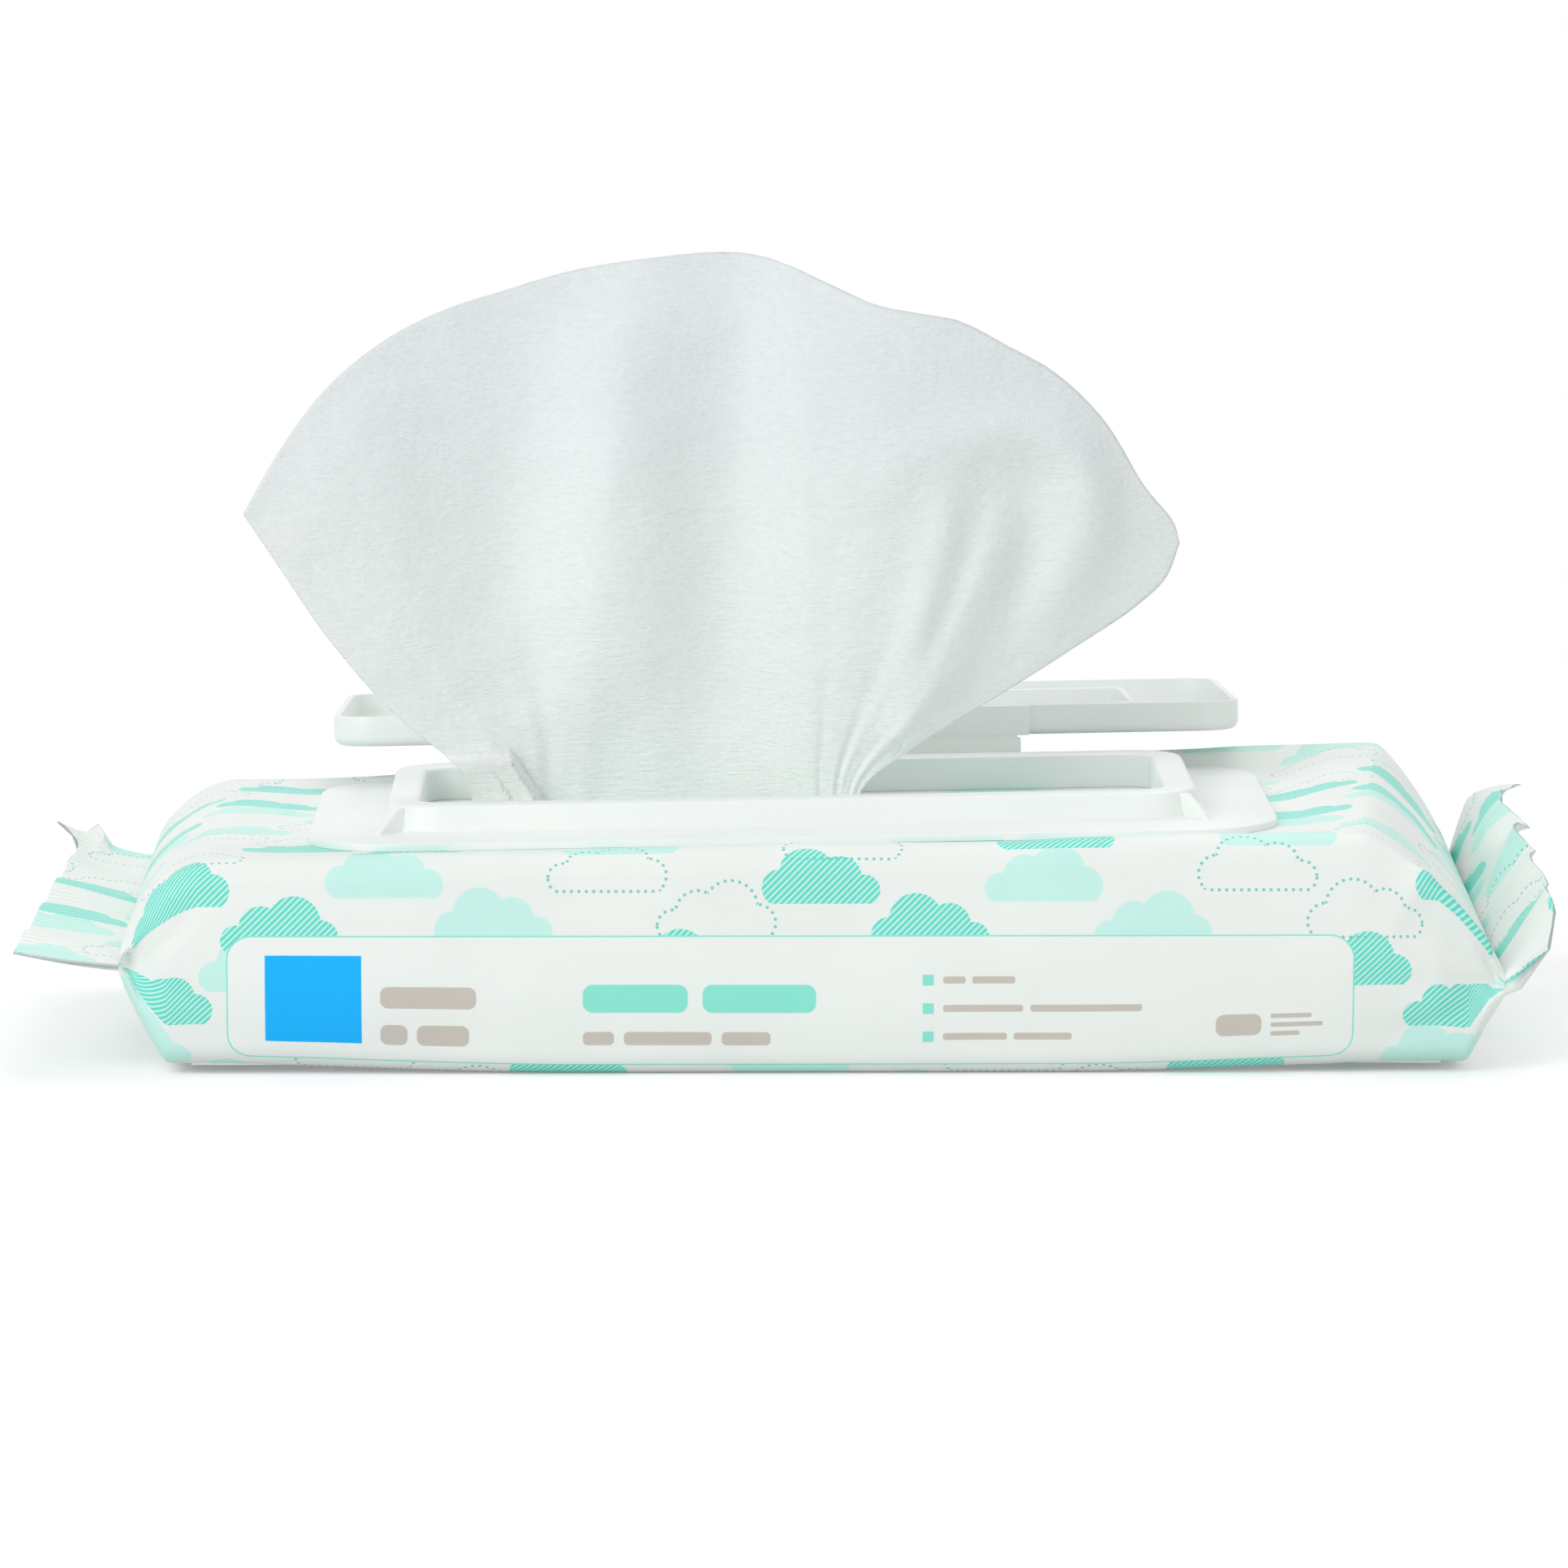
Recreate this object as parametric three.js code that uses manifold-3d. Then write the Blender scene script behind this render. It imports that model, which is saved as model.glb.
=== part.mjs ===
// Wet wipes pack: a soft film wrapper round a stack of interfolded wipes, with a moulded
// flip-top dispenser glued over the opening and the first wipe pulled up through it.
// Millimetres, +Z up. The pack lies flat, with its length along X and its front towards -Y.
// The origin is the middle of the flat underside.
import * as THREE from 'three';
import { mergeVertices } from 'three/addons/utils/BufferGeometryUtils.js';
import Module from 'manifold-3d';

const wasm = await Module();
wasm.setup();

const degrees = THREE.MathUtils.degToRad;
const { lerp, clamp, smoothstep } = THREE.MathUtils;

// Pack, driving sizes
const BASE_LENGTH = 197;         // flat part of the underside, along X
const PACK_DEPTH = 100;          // front face to back face
const PACK_HEIGHT = 34;          // underside to the film under the middle of the dispenser
const FILM_WALL = 0.8;           // wrapper wall, drawn thicker than the real film
const SIDE_BULGE = 1.2;          // how far the front and back faces swell out
const BASE_RADIUS = 4;           // roll of the film between underside and sides
const SHOULDER_RADIUS = 5;       // roll of the film between sides and top
const TOP_ROLL = degrees(1);     // the top rises towards +X by this angle
const TOP_SWELL = { left: 1.2, right: 3.5 };  // how far the back of the top stands proud
const FRONT_SWELL = 0.3;         // share of that swell which is left along the front
const SWELL_RUN = 13;            // the swell builds up over this length past the flange

// End seals. Each end closes on a crimped fin whose root rises from front to back.
const SEAL_THICKNESS = 1;
const SEAL_INSET = 1;            // the fin is narrower than the pack by this on each side
const GUSSET_TUCK = 9;           // how deep the sides fold in beside each fin
const GUSSET_LEAD = 1.5;         // the sides begin to fold in this far inside the flat underside
const UNDER_POWER = 1.2;         // how round the underside turns up at the ends
// reach is from the end of the flat underside to the root of the fin; rise is the height of
// the root; slope is the length over which the top comes down to it. Pairs are front and back.
const LEFT_END = { side: -1, reach: 7.3, rise: [16.4, 22.5], slope: [14, 14], slopePower: 1.8,
  finLength: 16, finAngle: [degrees(7.5), degrees(18)], ripple: 0.5 };
const RIGHT_END = { side: 1, reach: 5.7, rise: [14.2, 20], slope: [22, 12], slopePower: 1.25,
  finLength: 13, finAngle: [degrees(54.5), degrees(63)], ripple: 1.1 };
const RIPPLE_PITCH = 21;         // wave of the fin's free edge

// Opening cut in the film, under the dispenser's window
const SLOT_LENGTH = 74;
const SLOT_WIDTH = 16;
const SLOT_CENTRE_X = -20;       // from the middle of the dispenser

// Stack of wipes
const STACK_CLEARANCE = 0.4;     // stack to film
const STACK_END_GAP = 3.5;       // flat underside's end to the end of the stack
const STACK_HEADROOM = 3.6;      // room over the stack for the tail of the pulled wipe
const STACK_PLEATS = 12;         // folded edges drawn on each long side
const PLEAT_DEPTH = 0.9;

// Dispenser frame, measured from the film up
const DISPENSER_X = -3.4;        // middle of the dispenser, from the middle of the pack
const SEAT_GAP = 0.3;            // glue line between film and flange
const FLANGE_END_MARGIN = 24;    // end of the flat underside to the flange
const FLANGE_SIDE_MARGIN = 10.5; // front and back faces to the flange
const FLANGE_RADIUS = 14;
const FLANGE_THICKNESS = 0.9;
const RING_INSET_X = 10;         // closed lid's edge to the ring, at the ends
const RING_INSET_Y = 7.5;        // and along the front and back
const RING_RADIUS = 9;
const RING_LAND = 4.9;           // width of the ring's flat top
const RING_DRAFT = 0.7;          // how far the outer wall leans in
const MOULD_WALL = 1.1;          // wall of the mouldings
const CORNER_RIB_LENGTH = 5;
const CORNER_RIB_THICKNESS = 1;

// Lid, hinged behind the ring
const LID_INSET_X = 1.5;         // flange's edge to the closed lid, at the ends
const LID_INSET_FRONT = 3;       // and at the front
const LID_INSET_BACK = 5;        // and at the back, beside the hinge
const LID_RADIUS = 7;
const LID_HEIGHT = 4.8;
const LID_PLATE = 0.9;
const LID_EDGE_ROUND = 1.5;
const RIM_GAP = 0.6;             // closed lid's rim to flange
const RING_GAP = 0.3;            // closed lid's plate to the ring's top
const PLUG_HEIGHT = 3.4;         // rib inside the lid that drops into the window
const PLUG_CLEARANCE = 0.5;
const THUMB_TAB = { width: 24, reach: 2.2, thickness: 1.2 };
const HINGE_WIDTH = 78;
const HINGE_BOSS = 1.1;          // the skirt is thicker by this along the hinge
const HINGE_GAP = 0.3;           // between boss and tab, bridged by the thin web
const HINGE_LIFT = 0.2;          // hinge line above the closed lid's top
const OPEN_ANGLE = degrees(183.4);

// Pulled wipe, cut 200 by 150
const WIPE_LENGTH = 200;
const WIPE_THICKNESS = 0.8;      // drawn thicker than the real cloth
const WIPE_TAIL = 30;            // length that still lies on the stack
const WIPE_COLUMNS = 44;
const WIPE_ROWS = 18;
const TAIL_ROWS = 5;
const TAIL_LIFT = 1;             // the tail lies this far above the stack
const EXIT_MARGIN = 7.5;         // slot's ends to the wipe
const EXIT_Y = -2;               // the wipe comes up this far off the middle of the slot
const FOLD_DEPTH = 6;            // deepest fold
const CALM_SHARE = 0.35;         // share of the folds' depth left at the slot and at the free edge

const HALF_DEPTH = PACK_DEPTH / 2;
const STACK_LENGTH = BASE_LENGTH - 2 * STACK_END_GAP;
const FLANGE_WIDTH = BASE_LENGTH - 2 * FLANGE_END_MARGIN;
const FLANGE_DEPTH = PACK_DEPTH - 2 * FLANGE_SIDE_MARGIN;
const SEAT_EDGE_X = FLANGE_WIDTH / 2 + 1;
const SEAT_EDGE_Y = FLANGE_DEPTH / 2 + 1;
const LID_WIDTH = FLANGE_WIDTH - 2 * LID_INSET_X;
const LID_DEPTH = FLANGE_DEPTH - LID_INSET_FRONT - LID_INSET_BACK;
const RING_WIDTH = LID_WIDTH - 2 * RING_INSET_X;
const RING_DEPTH = LID_DEPTH - 2 * RING_INSET_Y;
const RING_TOP = SEAT_GAP + FLANGE_THICKNESS + RIM_GAP + LID_HEIGHT - LID_PLATE - RING_GAP;
const FLANGE_TOP = SEAT_GAP + FLANGE_THICKNESS;
const WINDOW_WIDTH = RING_WIDTH - 2 * (RING_LAND + RING_DRAFT);
const WINDOW_DEPTH = RING_DEPTH - 2 * (RING_LAND + RING_DRAFT);
const WINDOW_RADIUS = Math.max(RING_RADIUS - RING_LAND, 1);
const LID_BACK = FLANGE_DEPTH / 2 - LID_INSET_BACK;
const HINGE_Y = LID_BACK + HINGE_BOSS + HINGE_GAP / 2;
const HINGE_Z = FLANGE_TOP + RIM_GAP + LID_HEIGHT + HINGE_LIFT;

function filmTop(x) {
  return PACK_HEIGHT + (x - DISPENSER_X) * Math.tan(TOP_ROLL);
}

// Solids

function toManifold(geometry) {
  const bare = geometry.clone();
  bare.deleteAttribute('normal');
  bare.deleteAttribute('uv');
  const merged = mergeVertices(bare, 1e-4);
  return new wasm.Manifold(new wasm.Mesh({
    numProp: 3,
    vertProperties: new Float32Array(merged.attributes.position.array),
    triVerts: new Uint32Array(merged.index.array),
  }));
}

function toGeometry(manifold) {
  const mesh = manifold.getMesh();
  const geometry = new THREE.BufferGeometry();
  geometry.setAttribute('position', new THREE.BufferAttribute(mesh.vertProperties, 3));
  geometry.setIndex(new THREE.BufferAttribute(mesh.triVerts, 1));
  geometry.computeVertexNormals();
  return geometry;
}

function indexedGeometry(points, faces) {
  const geometry = new THREE.BufferGeometry();
  geometry.setAttribute('position',
    new THREE.Float32BufferAttribute(points.flatMap((point) => point.toArray()), 3));
  geometry.setIndex(faces);
  geometry.computeVertexNormals();
  return geometry;
}

// Triangles that fill an outline whose two sides both run steadily along the given axis. One
// walk along both sides uses every point, so the fill always fits the walls beside it.
function fillOutline(outline, axis) {
  const count = outline.length;
  const places = outline.map((point) => Math.round(point[axis] * 1e6));
  const start = places.lastIndexOf(Math.min(...places));
  const end = places.lastIndexOf(Math.max(...places));
  const triangles = [];
  let ahead = (start + 1) % count;
  let behind = start;
  while (ahead !== end || behind !== end) {
    const nextAhead = (ahead + 1) % count;
    const nextBehind = (behind + count - 1) % count;
    if (ahead !== end && (behind === end || places[nextAhead] <= places[nextBehind])) {
      if (nextAhead !== behind) triangles.push([ahead, nextAhead, behind]);
      ahead = nextAhead;
    } else {
      if (nextBehind !== ahead) triangles.push([ahead, nextBehind, behind]);
      behind = nextBehind;
    }
  }
  return triangles;
}

// Closed solid through a row of outlines with equally many points, each anticlockwise about
// the direction of travel. The two ends are filled by a walk along the given axis.
function loft(outlines, axis) {
  const count = outlines[0].length;
  const faces = [];
  for (let row = 0; row + 1 < outlines.length; row += 1) {
    for (let i = 0; i < count; i += 1) {
      const a = row * count + i;
      const b = row * count + (i + 1) % count;
      faces.push(a, b, b + count, a, b + count, a + count);
    }
  }
  const last = (outlines.length - 1) * count;
  for (const [a, b, c] of fillOutline(outlines[0], axis)) faces.push(a, c, b);
  for (const [a, b, c] of fillOutline(outlines.at(-1), axis)) {
    faces.push(last + a, last + b, last + c);
  }
  return indexedGeometry(outlines.flat(), faces);
}

// Rounded rectangle at height z, anticlockwise seen from above.
function roundedOutline(width, depth, radius, z, centreY = 0, cornerSteps = 6) {
  const points = [];
  const corners = [[1, -1], [1, 1], [-1, 1], [-1, -1]];
  corners.forEach(([sideX, sideY], corner) => {
    for (let step = 0; step <= cornerSteps; step += 1) {
      const angle = (corner - 1 + step / cornerSteps) * Math.PI / 2;
      points.push(new THREE.Vector3(
        sideX * (width / 2 - radius) + radius * Math.cos(angle),
        centreY + sideY * (depth / 2 - radius) + radius * Math.sin(angle),
        z));
    }
  });
  return points;
}

// Block with rounded corners; levels are [height, inset] pairs from bottom to top.
function roundedBlock(width, depth, radius, levels, centreY = 0) {
  const outlines = levels.map(([z, inset]) => roundedOutline(
    width - 2 * inset, depth - 2 * inset, Math.max(radius - inset, 0.3), z, centreY));
  return toManifold(loft(outlines, 'x'));
}

function box(width, depth, height, x, y, z) {
  return toManifold(new THREE.BoxGeometry(width, depth, height).translate(x, y, z));
}

// Film wrapper

// How far the film stands above the dispenser's plane at (x, y).
function topSwell(x, y) {
  const size = lerp(TOP_SWELL.left, TOP_SWELL.right, smoothstep(x, -BASE_LENGTH / 2, BASE_LENGTH / 2));
  const besideFlange = smoothstep(Math.abs(y), SEAT_EDGE_Y, HALF_DEPTH - SHOULDER_RADIUS);
  const pastFlange = smoothstep(Math.abs(x - DISPENSER_X), SEAT_EDGE_X, SEAT_EDGE_X + SWELL_RUN);
  const frontToBack = lerp(FRONT_SWELL, 1, smoothstep(y, -HALF_DEPTH, HALF_DEPTH));
  return size * frontToBack * Math.max(besideFlange, pastFlange);
}

function endOf(x) {
  return x < 0 ? LEFT_END : RIGHT_END;
}

function rootX(end) {
  return BASE_LENGTH / 2 + end.reach;
}

// Value of a front and back pair at y.
function fromFront([front, back], y) {
  return lerp(front, back, clamp((y + HALF_DEPTH) / PACK_DEPTH, 0, 1));
}

// Share of the full height that is left at x, from 1 over the stack to 0 at the root of a fin.
function closing(x, length, power) {
  const run = clamp(1 - (rootX(endOf(x)) - Math.abs(x)) / length, 0, 1);
  return (1 - run ** power) ** (1 / power);
}

function topHeight(x, y) {
  const end = endOf(x);
  const sealed = fromFront(end.rise, y) + SEAL_THICKNESS / 2;
  const full = filmTop(x) + topSwell(x, y);
  return lerp(sealed, full, closing(x, fromFront(end.slope, y), end.slopePower));
}

function bottomHeight(x, y) {
  const end = endOf(x);
  const sealed = fromFront(end.rise, y) - SEAL_THICKNESS / 2;
  return lerp(sealed, 0, closing(x, end.reach, UNDER_POWER));
}

const BASE_STEPS = 10;
const CORNER_STEPS = 4;
const SIDE_STEPS = 6;
const SEAT_STEPS = 8;
const END_STEPS = 10;
const FIN_SHARES = [0.06, 0.25, 0.5, 0.75, 1];

// Lines along the top from back to front, with one at each edge of the dispenser's flat seat.
function seatLines() {
  const shoulder = HALF_DEPTH - SHOULDER_RADIUS;
  const half = [(SEAT_EDGE_Y + shoulder) / 2, SEAT_EDGE_Y, SEAT_EDGE_Y * 0.67, SEAT_EDGE_Y * 0.33];
  return [...half, 0, ...half.map((y) => -y).reverse()];
}

// One cross section of the wrapper at x, anticlockwise about +X. inset moves it inwards.
function wrapperSection(x, inset) {
  const end = endOf(x);
  const root = rootX(end);
  const flatEnd = BASE_LENGTH / 2;
  const half = HALF_DEPTH - inset - SEAL_INSET * smoothstep(Math.abs(x), flatEnd, root);
  const tuck = Math.abs(x) > root - 0.5 ? 0
    : GUSSET_TUCK * smoothstep(Math.abs(x), flatEnd - GUSSET_LEAD, root - 1.5);
  const points = [];
  const add = (y, z) => points.push(new THREE.Vector3(x, y, z));
  const corner = (y0, z0, radius, from) => {
    for (let step = 0; step <= CORNER_STEPS; step += 1) {
      const angle = (from + step / CORNER_STEPS) * Math.PI / 2;
      add(y0 + radius * Math.cos(angle), z0 + radius * Math.sin(angle));
    }
  };
  const tops = (y) => topHeight(x, y) - inset;
  const bottoms = (y) => bottomHeight(x, y) + inset;
  const radii = [-1, 1].map((side) => {
    const height = tops(side * half) - bottoms(side * half);
    return {
      base: clamp(BASE_RADIUS - inset, 0.1, 0.3 * height),
      shoulder: clamp(SHOULDER_RADIUS - inset, 0.1, 0.3 * height),
    };
  });
  const side = (sign, upward) => {
    const { base, shoulder } = radii[sign < 0 ? 0 : 1];
    const low = bottoms(sign * half) + base;
    const high = tops(sign * (half - shoulder)) - shoulder;
    for (let step = 1; step < SIDE_STEPS; step += 1) {
      const share = upward ? step / SIDE_STEPS : 1 - step / SIDE_STEPS;
      const fold = 1 - Math.abs(2 * share - 1);
      const bulge = SIDE_BULGE * closing(x, end.reach, 2) * (1 - (2 * share - 1) ** 2);
      add(sign * (half + bulge - tuck * fold), lerp(low, high, share));
    }
  };
  for (let step = 1; step < BASE_STEPS; step += 1) {
    const y = lerp(-half + radii[0].base, half - radii[1].base, step / BASE_STEPS);
    add(y, bottoms(y));
  }
  corner(half - radii[1].base, bottoms(half) + radii[1].base, radii[1].base, -1);
  side(1, true);
  const backTop = half - radii[1].shoulder;
  corner(backTop, tops(backTop) - radii[1].shoulder, radii[1].shoulder, 0);
  const frontTop = -half + radii[0].shoulder;
  for (const y of seatLines()) add(y, tops(y));
  corner(frontTop, tops(frontTop) - radii[0].shoulder, radii[0].shoulder, 1);
  side(-1, false);
  corner(-half + radii[0].base, bottoms(-half) + radii[0].base, radii[0].base, 2);
  return points;
}

// The root section carried outwards along the fin by a share of the fin's length.
function finSection(end, share) {
  const distance = share * end.finLength;
  return wrapperSection(end.side * rootX(end), 0).map((point) => {
    const angle = fromFront(end.finAngle, point.y);
    const middle = fromFront(end.rise, point.y);
    const wave = end.ripple * share * Math.sin(2 * Math.PI * point.y / RIPPLE_PITCH);
    const proud = point.z - middle + wave;
    return new THREE.Vector3(
      end.side * (rootX(end) + distance * Math.cos(angle) - proud * Math.sin(angle)),
      point.y,
      middle + distance * Math.sin(angle) + proud * Math.cos(angle));
  });
}

// Places along X of the wrapper's sections, closer together where the ends close.
function wrapperStations() {
  const places = [];
  for (let step = 0; step <= SEAT_STEPS; step += 1) {
    places.push(DISPENSER_X + SEAT_EDGE_X * (2 * step / SEAT_STEPS - 1));
  }
  for (const end of [LEFT_END, RIGHT_END]) {
    const seatEnd = DISPENSER_X + end.side * SEAT_EDGE_X;
    for (let step = 1; step <= END_STEPS; step += 1) {
      const share = Math.sin(step / END_STEPS * Math.PI / 2);
      places.push(lerp(seatEnd, end.side * rootX(end), share));
    }
  }
  return places.sort((a, b) => a - b);
}

function slotCutter() {
  const cutter = roundedBlock(SLOT_LENGTH, SLOT_WIDTH, SLOT_WIDTH / 2 - 0.1,
    [[PACK_HEIGHT - STACK_HEADROOM, 0], [2 * PACK_HEIGHT, 0]]);
  return cutter.translate([DISPENSER_X + SLOT_CENTRE_X, 0, 0]);
}

function wrapperGeometry() {
  const outlines = [
    ...FIN_SHARES.map((share) => finSection(LEFT_END, share)).reverse(),
    ...wrapperStations().map((x) => wrapperSection(x, 0)),
    ...FIN_SHARES.map((share) => finSection(RIGHT_END, share)),
  ];
  const outside = toManifold(loft(outlines, 'y'));
  const cavityEnd = STACK_LENGTH / 2 + STACK_CLEARANCE;
  const between = wrapperStations().filter((x) => Math.abs(x) < cavityEnd);
  const cavityStations = [-cavityEnd, ...between, cavityEnd];
  const inside = toManifold(loft(
    cavityStations.map((x) => wrapperSection(x, FILM_WALL)), 'y'));
  return toGeometry(outside.subtract(inside).subtract(slotCutter()));
}

// Stack of wipes

// Long sides are drawn as a row of rounded folded edges.
function stackSection(x) {
  const inset = FILM_WALL + STACK_CLEARANCE;
  const half = HALF_DEPTH - inset - SIDE_BULGE;
  const low = inset;
  const high = (y) => Math.min(topHeight(x, y), filmTop(x)) - FILM_WALL - STACK_HEADROOM;
  const points = [];
  const fold = (sign, share) => {
    const crest = Math.abs(Math.sin(share * STACK_PLEATS * Math.PI));
    const y = sign * (half - PLEAT_DEPTH * (1 - crest));
    points.push(new THREE.Vector3(x, y, lerp(low, high(y), share)));
  };
  const steps = STACK_PLEATS * 2;
  for (let step = 0; step <= steps; step += 1) fold(1, step / steps);
  for (let step = steps; step >= 0; step -= 1) fold(-1, step / steps);
  return points;
}

function stackGeometry() {
  const stations = [-1, -0.95, -0.85, 0.85, 0.95, 1].map((share) => share * STACK_LENGTH / 2);
  return loft(stations.map(stackSection), 'z');
}

// Pulled wipe. Its four edges are curves in space measured from the middle of the dispenser
// at the film, and the cloth between them is stretched over those edges and then folded.
// Places are in hundredths of the wipe's length.

const HEM_PLACES = [[-42.7, 1, 23.3], [-39.8, 0, 28.4], [-32, -3, 36.9], [-22.3, -2.5, 41],
  [-11.6, 1, 43.3], [-5, 2, 43.7], [-0.3, 0.5, 42.9], [6.6, -1.5, 39.9], [13, -0.5, 38.5],
  [20.7, 2.5, 34.2], [27.9, 6.5, 25.5], [30.9, 8, 20.6]];
const LEFT_PLACES = [[-25.2, -1.3, 3.4], [-28.5, -2, 6.2], [-36.3, -2, 14.4]];
const RIGHT_PLACES = [[9.9, 0.5, 5.4], [17, 2.5, 9.3], [27.3, 6, 15.3]];
// Share of the slot's length taken up by each share of the wipe's length: it is gathered
// at both ends and drawn tighter at the right.
const GATHER = [[0, 0], [0.145, 0.08], [0.3, 0.2], [0.405, 0.32], [0.49, 0.55], [0.575, 0.76],
  [0.7, 0.86], [0.85, 0.94], [1, 1]];
// Folds across the wipe, towards the front as a share of the deepest.
const FOLDS = [[0, 0], [0.145, 0.75], [0.296, -0.5], [0.405, 0.8], [0.49, -0.6], [0.575, 1],
  [0.66, -0.5], [0.74, 0.4], [0.82, -0.35], [0.9, 0.3], [1, 0]];

function wipePlace([x, y, z]) {
  return new THREE.Vector3(x, y, z).multiplyScalar(WIPE_LENGTH / 100);
}

// Value at u of a table of [u, value] pairs.
function follow(table, u, ease) {
  const next = Math.max(table.findIndex(([place]) => place >= u), 1);
  const [fromU, from] = table[next - 1];
  const [toU, to] = table[next];
  return lerp(from, to, ease((u - fromU) / (toU - fromU)));
}

function exitPoint(u) {
  const reach = SLOT_LENGTH / 2 - EXIT_MARGIN;
  const along = follow(GATHER, u, (share) => share);
  return new THREE.Vector3(SLOT_CENTRE_X + reach * (2 * along - 1), EXIT_Y, 0);
}

const HEM = new THREE.CatmullRomCurve3(HEM_PLACES.map(wipePlace));
const LEFT_EDGE = new THREE.CatmullRomCurve3(
  [exitPoint(0), ...[...LEFT_PLACES, HEM_PLACES[0]].map(wipePlace)]);
const RIGHT_EDGE = new THREE.CatmullRomCurve3(
  [exitPoint(1), ...[...RIGHT_PLACES, HEM_PLACES.at(-1)].map(wipePlace)]);

function clothPoint(u, v) {
  const across = exitPoint(u).lerp(HEM.getPointAt(u), v);
  const along = LEFT_EDGE.getPointAt(v).lerp(RIGHT_EDGE.getPointAt(v), u);
  const corners = exitPoint(0).lerp(exitPoint(1), u)
    .lerp(HEM.getPoint(0).lerp(HEM.getPoint(1), u), v);
  return across.add(along).sub(corners);
}

function clothFold(u, v) {
  const free = lerp(CALM_SHARE, 1, Math.sin(Math.PI * v) ** 0.7);
  return -FOLD_DEPTH * free * follow(FOLDS, u, (share) => smoothstep(share, 0, 1));
}

// Where the cloth's tail lies: out of the slot's underside and back over the stack.
function tailPoint(u, share) {
  const exit = clothPoint(u, 0);
  const drop = Math.min(share * 4, 1);
  const flat = Math.max(share - 0.12, 0) / 0.88;
  const spread = lerp(1, 1.35, flat);
  const middle = SLOT_CENTRE_X;
  return new THREE.Vector3(
    middle + (exit.x - middle) * spread,
    exit.y + clothFold(u, 0) * (1 - flat) + flat * WIPE_TAIL,
    -drop * (STACK_HEADROOM + FILM_WALL - TAIL_LIFT));
}

function wipePoint(u, row) {
  if (row >= TAIL_ROWS) {
    const v = (row - TAIL_ROWS) / WIPE_ROWS;
    const point = clothPoint(u, v);
    point.y += clothFold(u, v);
    return point;
  }
  return tailPoint(u, 1 - row / TAIL_ROWS);
}

// Thin closed sheet on both sides of a grid of points.
function sheetGeometry(grid, thickness) {
  const rows = grid.length;
  const columns = grid[0].length;
  const points = [];
  for (const side of [1, -1]) {
    for (let r = 0; r < rows; r += 1) {
      for (let c = 0; c < columns; c += 1) {
        const along = grid[r][Math.min(c + 1, columns - 1)].clone().sub(grid[r][Math.max(c - 1, 0)]);
        const up = grid[Math.min(r + 1, rows - 1)][c].clone().sub(grid[Math.max(r - 1, 0)][c]);
        const normal = up.cross(along).normalize();
        points.push(grid[r][c].clone().addScaledVector(normal, side * thickness / 2));
      }
    }
  }
  const at = (side, r, c) => (side * rows + r) * columns + c;
  const faces = [];
  const quad = (a, b, c, d) => faces.push(a, b, c, a, c, d);
  for (let r = 0; r + 1 < rows; r += 1) {
    for (let c = 0; c + 1 < columns; c += 1) {
      quad(at(0, r, c), at(0, r + 1, c), at(0, r + 1, c + 1), at(0, r, c + 1));
      quad(at(1, r, c), at(1, r, c + 1), at(1, r + 1, c + 1), at(1, r + 1, c));
    }
    quad(at(0, r, 0), at(1, r, 0), at(1, r + 1, 0), at(0, r + 1, 0));
    const last = columns - 1;
    quad(at(0, r + 1, last), at(1, r + 1, last), at(1, r, last), at(0, r, last));
  }
  for (let c = 0; c + 1 < columns; c += 1) {
    quad(at(0, 0, c), at(0, 0, c + 1), at(1, 0, c + 1), at(1, 0, c));
    quad(at(0, rows - 1, c + 1), at(0, rows - 1, c), at(1, rows - 1, c), at(1, rows - 1, c + 1));
  }
  return indexedGeometry(points, faces);
}

function wipeGeometry() {
  const grid = [];
  for (let row = 0; row <= TAIL_ROWS + WIPE_ROWS; row += 1) {
    const line = [];
    for (let column = 0; column <= WIPE_COLUMNS; column += 1) {
      line.push(wipePoint(column / WIPE_COLUMNS, row));
    }
    grid.push(line);
  }
  return sheetGeometry(grid, WIPE_THICKNESS);
}

// Dispenser frame

// Ring of channel section: outer wall, flat top and window wall, open underneath.
function ringSolid() {
  const wall = MOULD_WALL;
  const outer = roundedBlock(RING_WIDTH, RING_DEPTH, RING_RADIUS,
    [[SEAT_GAP, 0], [FLANGE_TOP, 0], [RING_TOP - 0.5, RING_DRAFT - 0.1], [RING_TOP, RING_DRAFT + 0.4]]);
  const channelOuter = roundedBlock(RING_WIDTH, RING_DEPTH, RING_RADIUS,
    [[0, wall], [RING_TOP - wall, wall + RING_DRAFT]]);
  const channelInner = roundedBlock(WINDOW_WIDTH, WINDOW_DEPTH, WINDOW_RADIUS,
    [[-1, -wall], [RING_TOP + 1, -wall]]);
  return outer.subtract(channelOuter.subtract(channelInner));
}

function windowCutter() {
  return roundedBlock(WINDOW_WIDTH, WINDOW_DEPTH, WINDOW_RADIUS,
    [[-1, 0], [RING_TOP - 0.4, 0], [RING_TOP + 0.1, -0.5]]);
}

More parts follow.
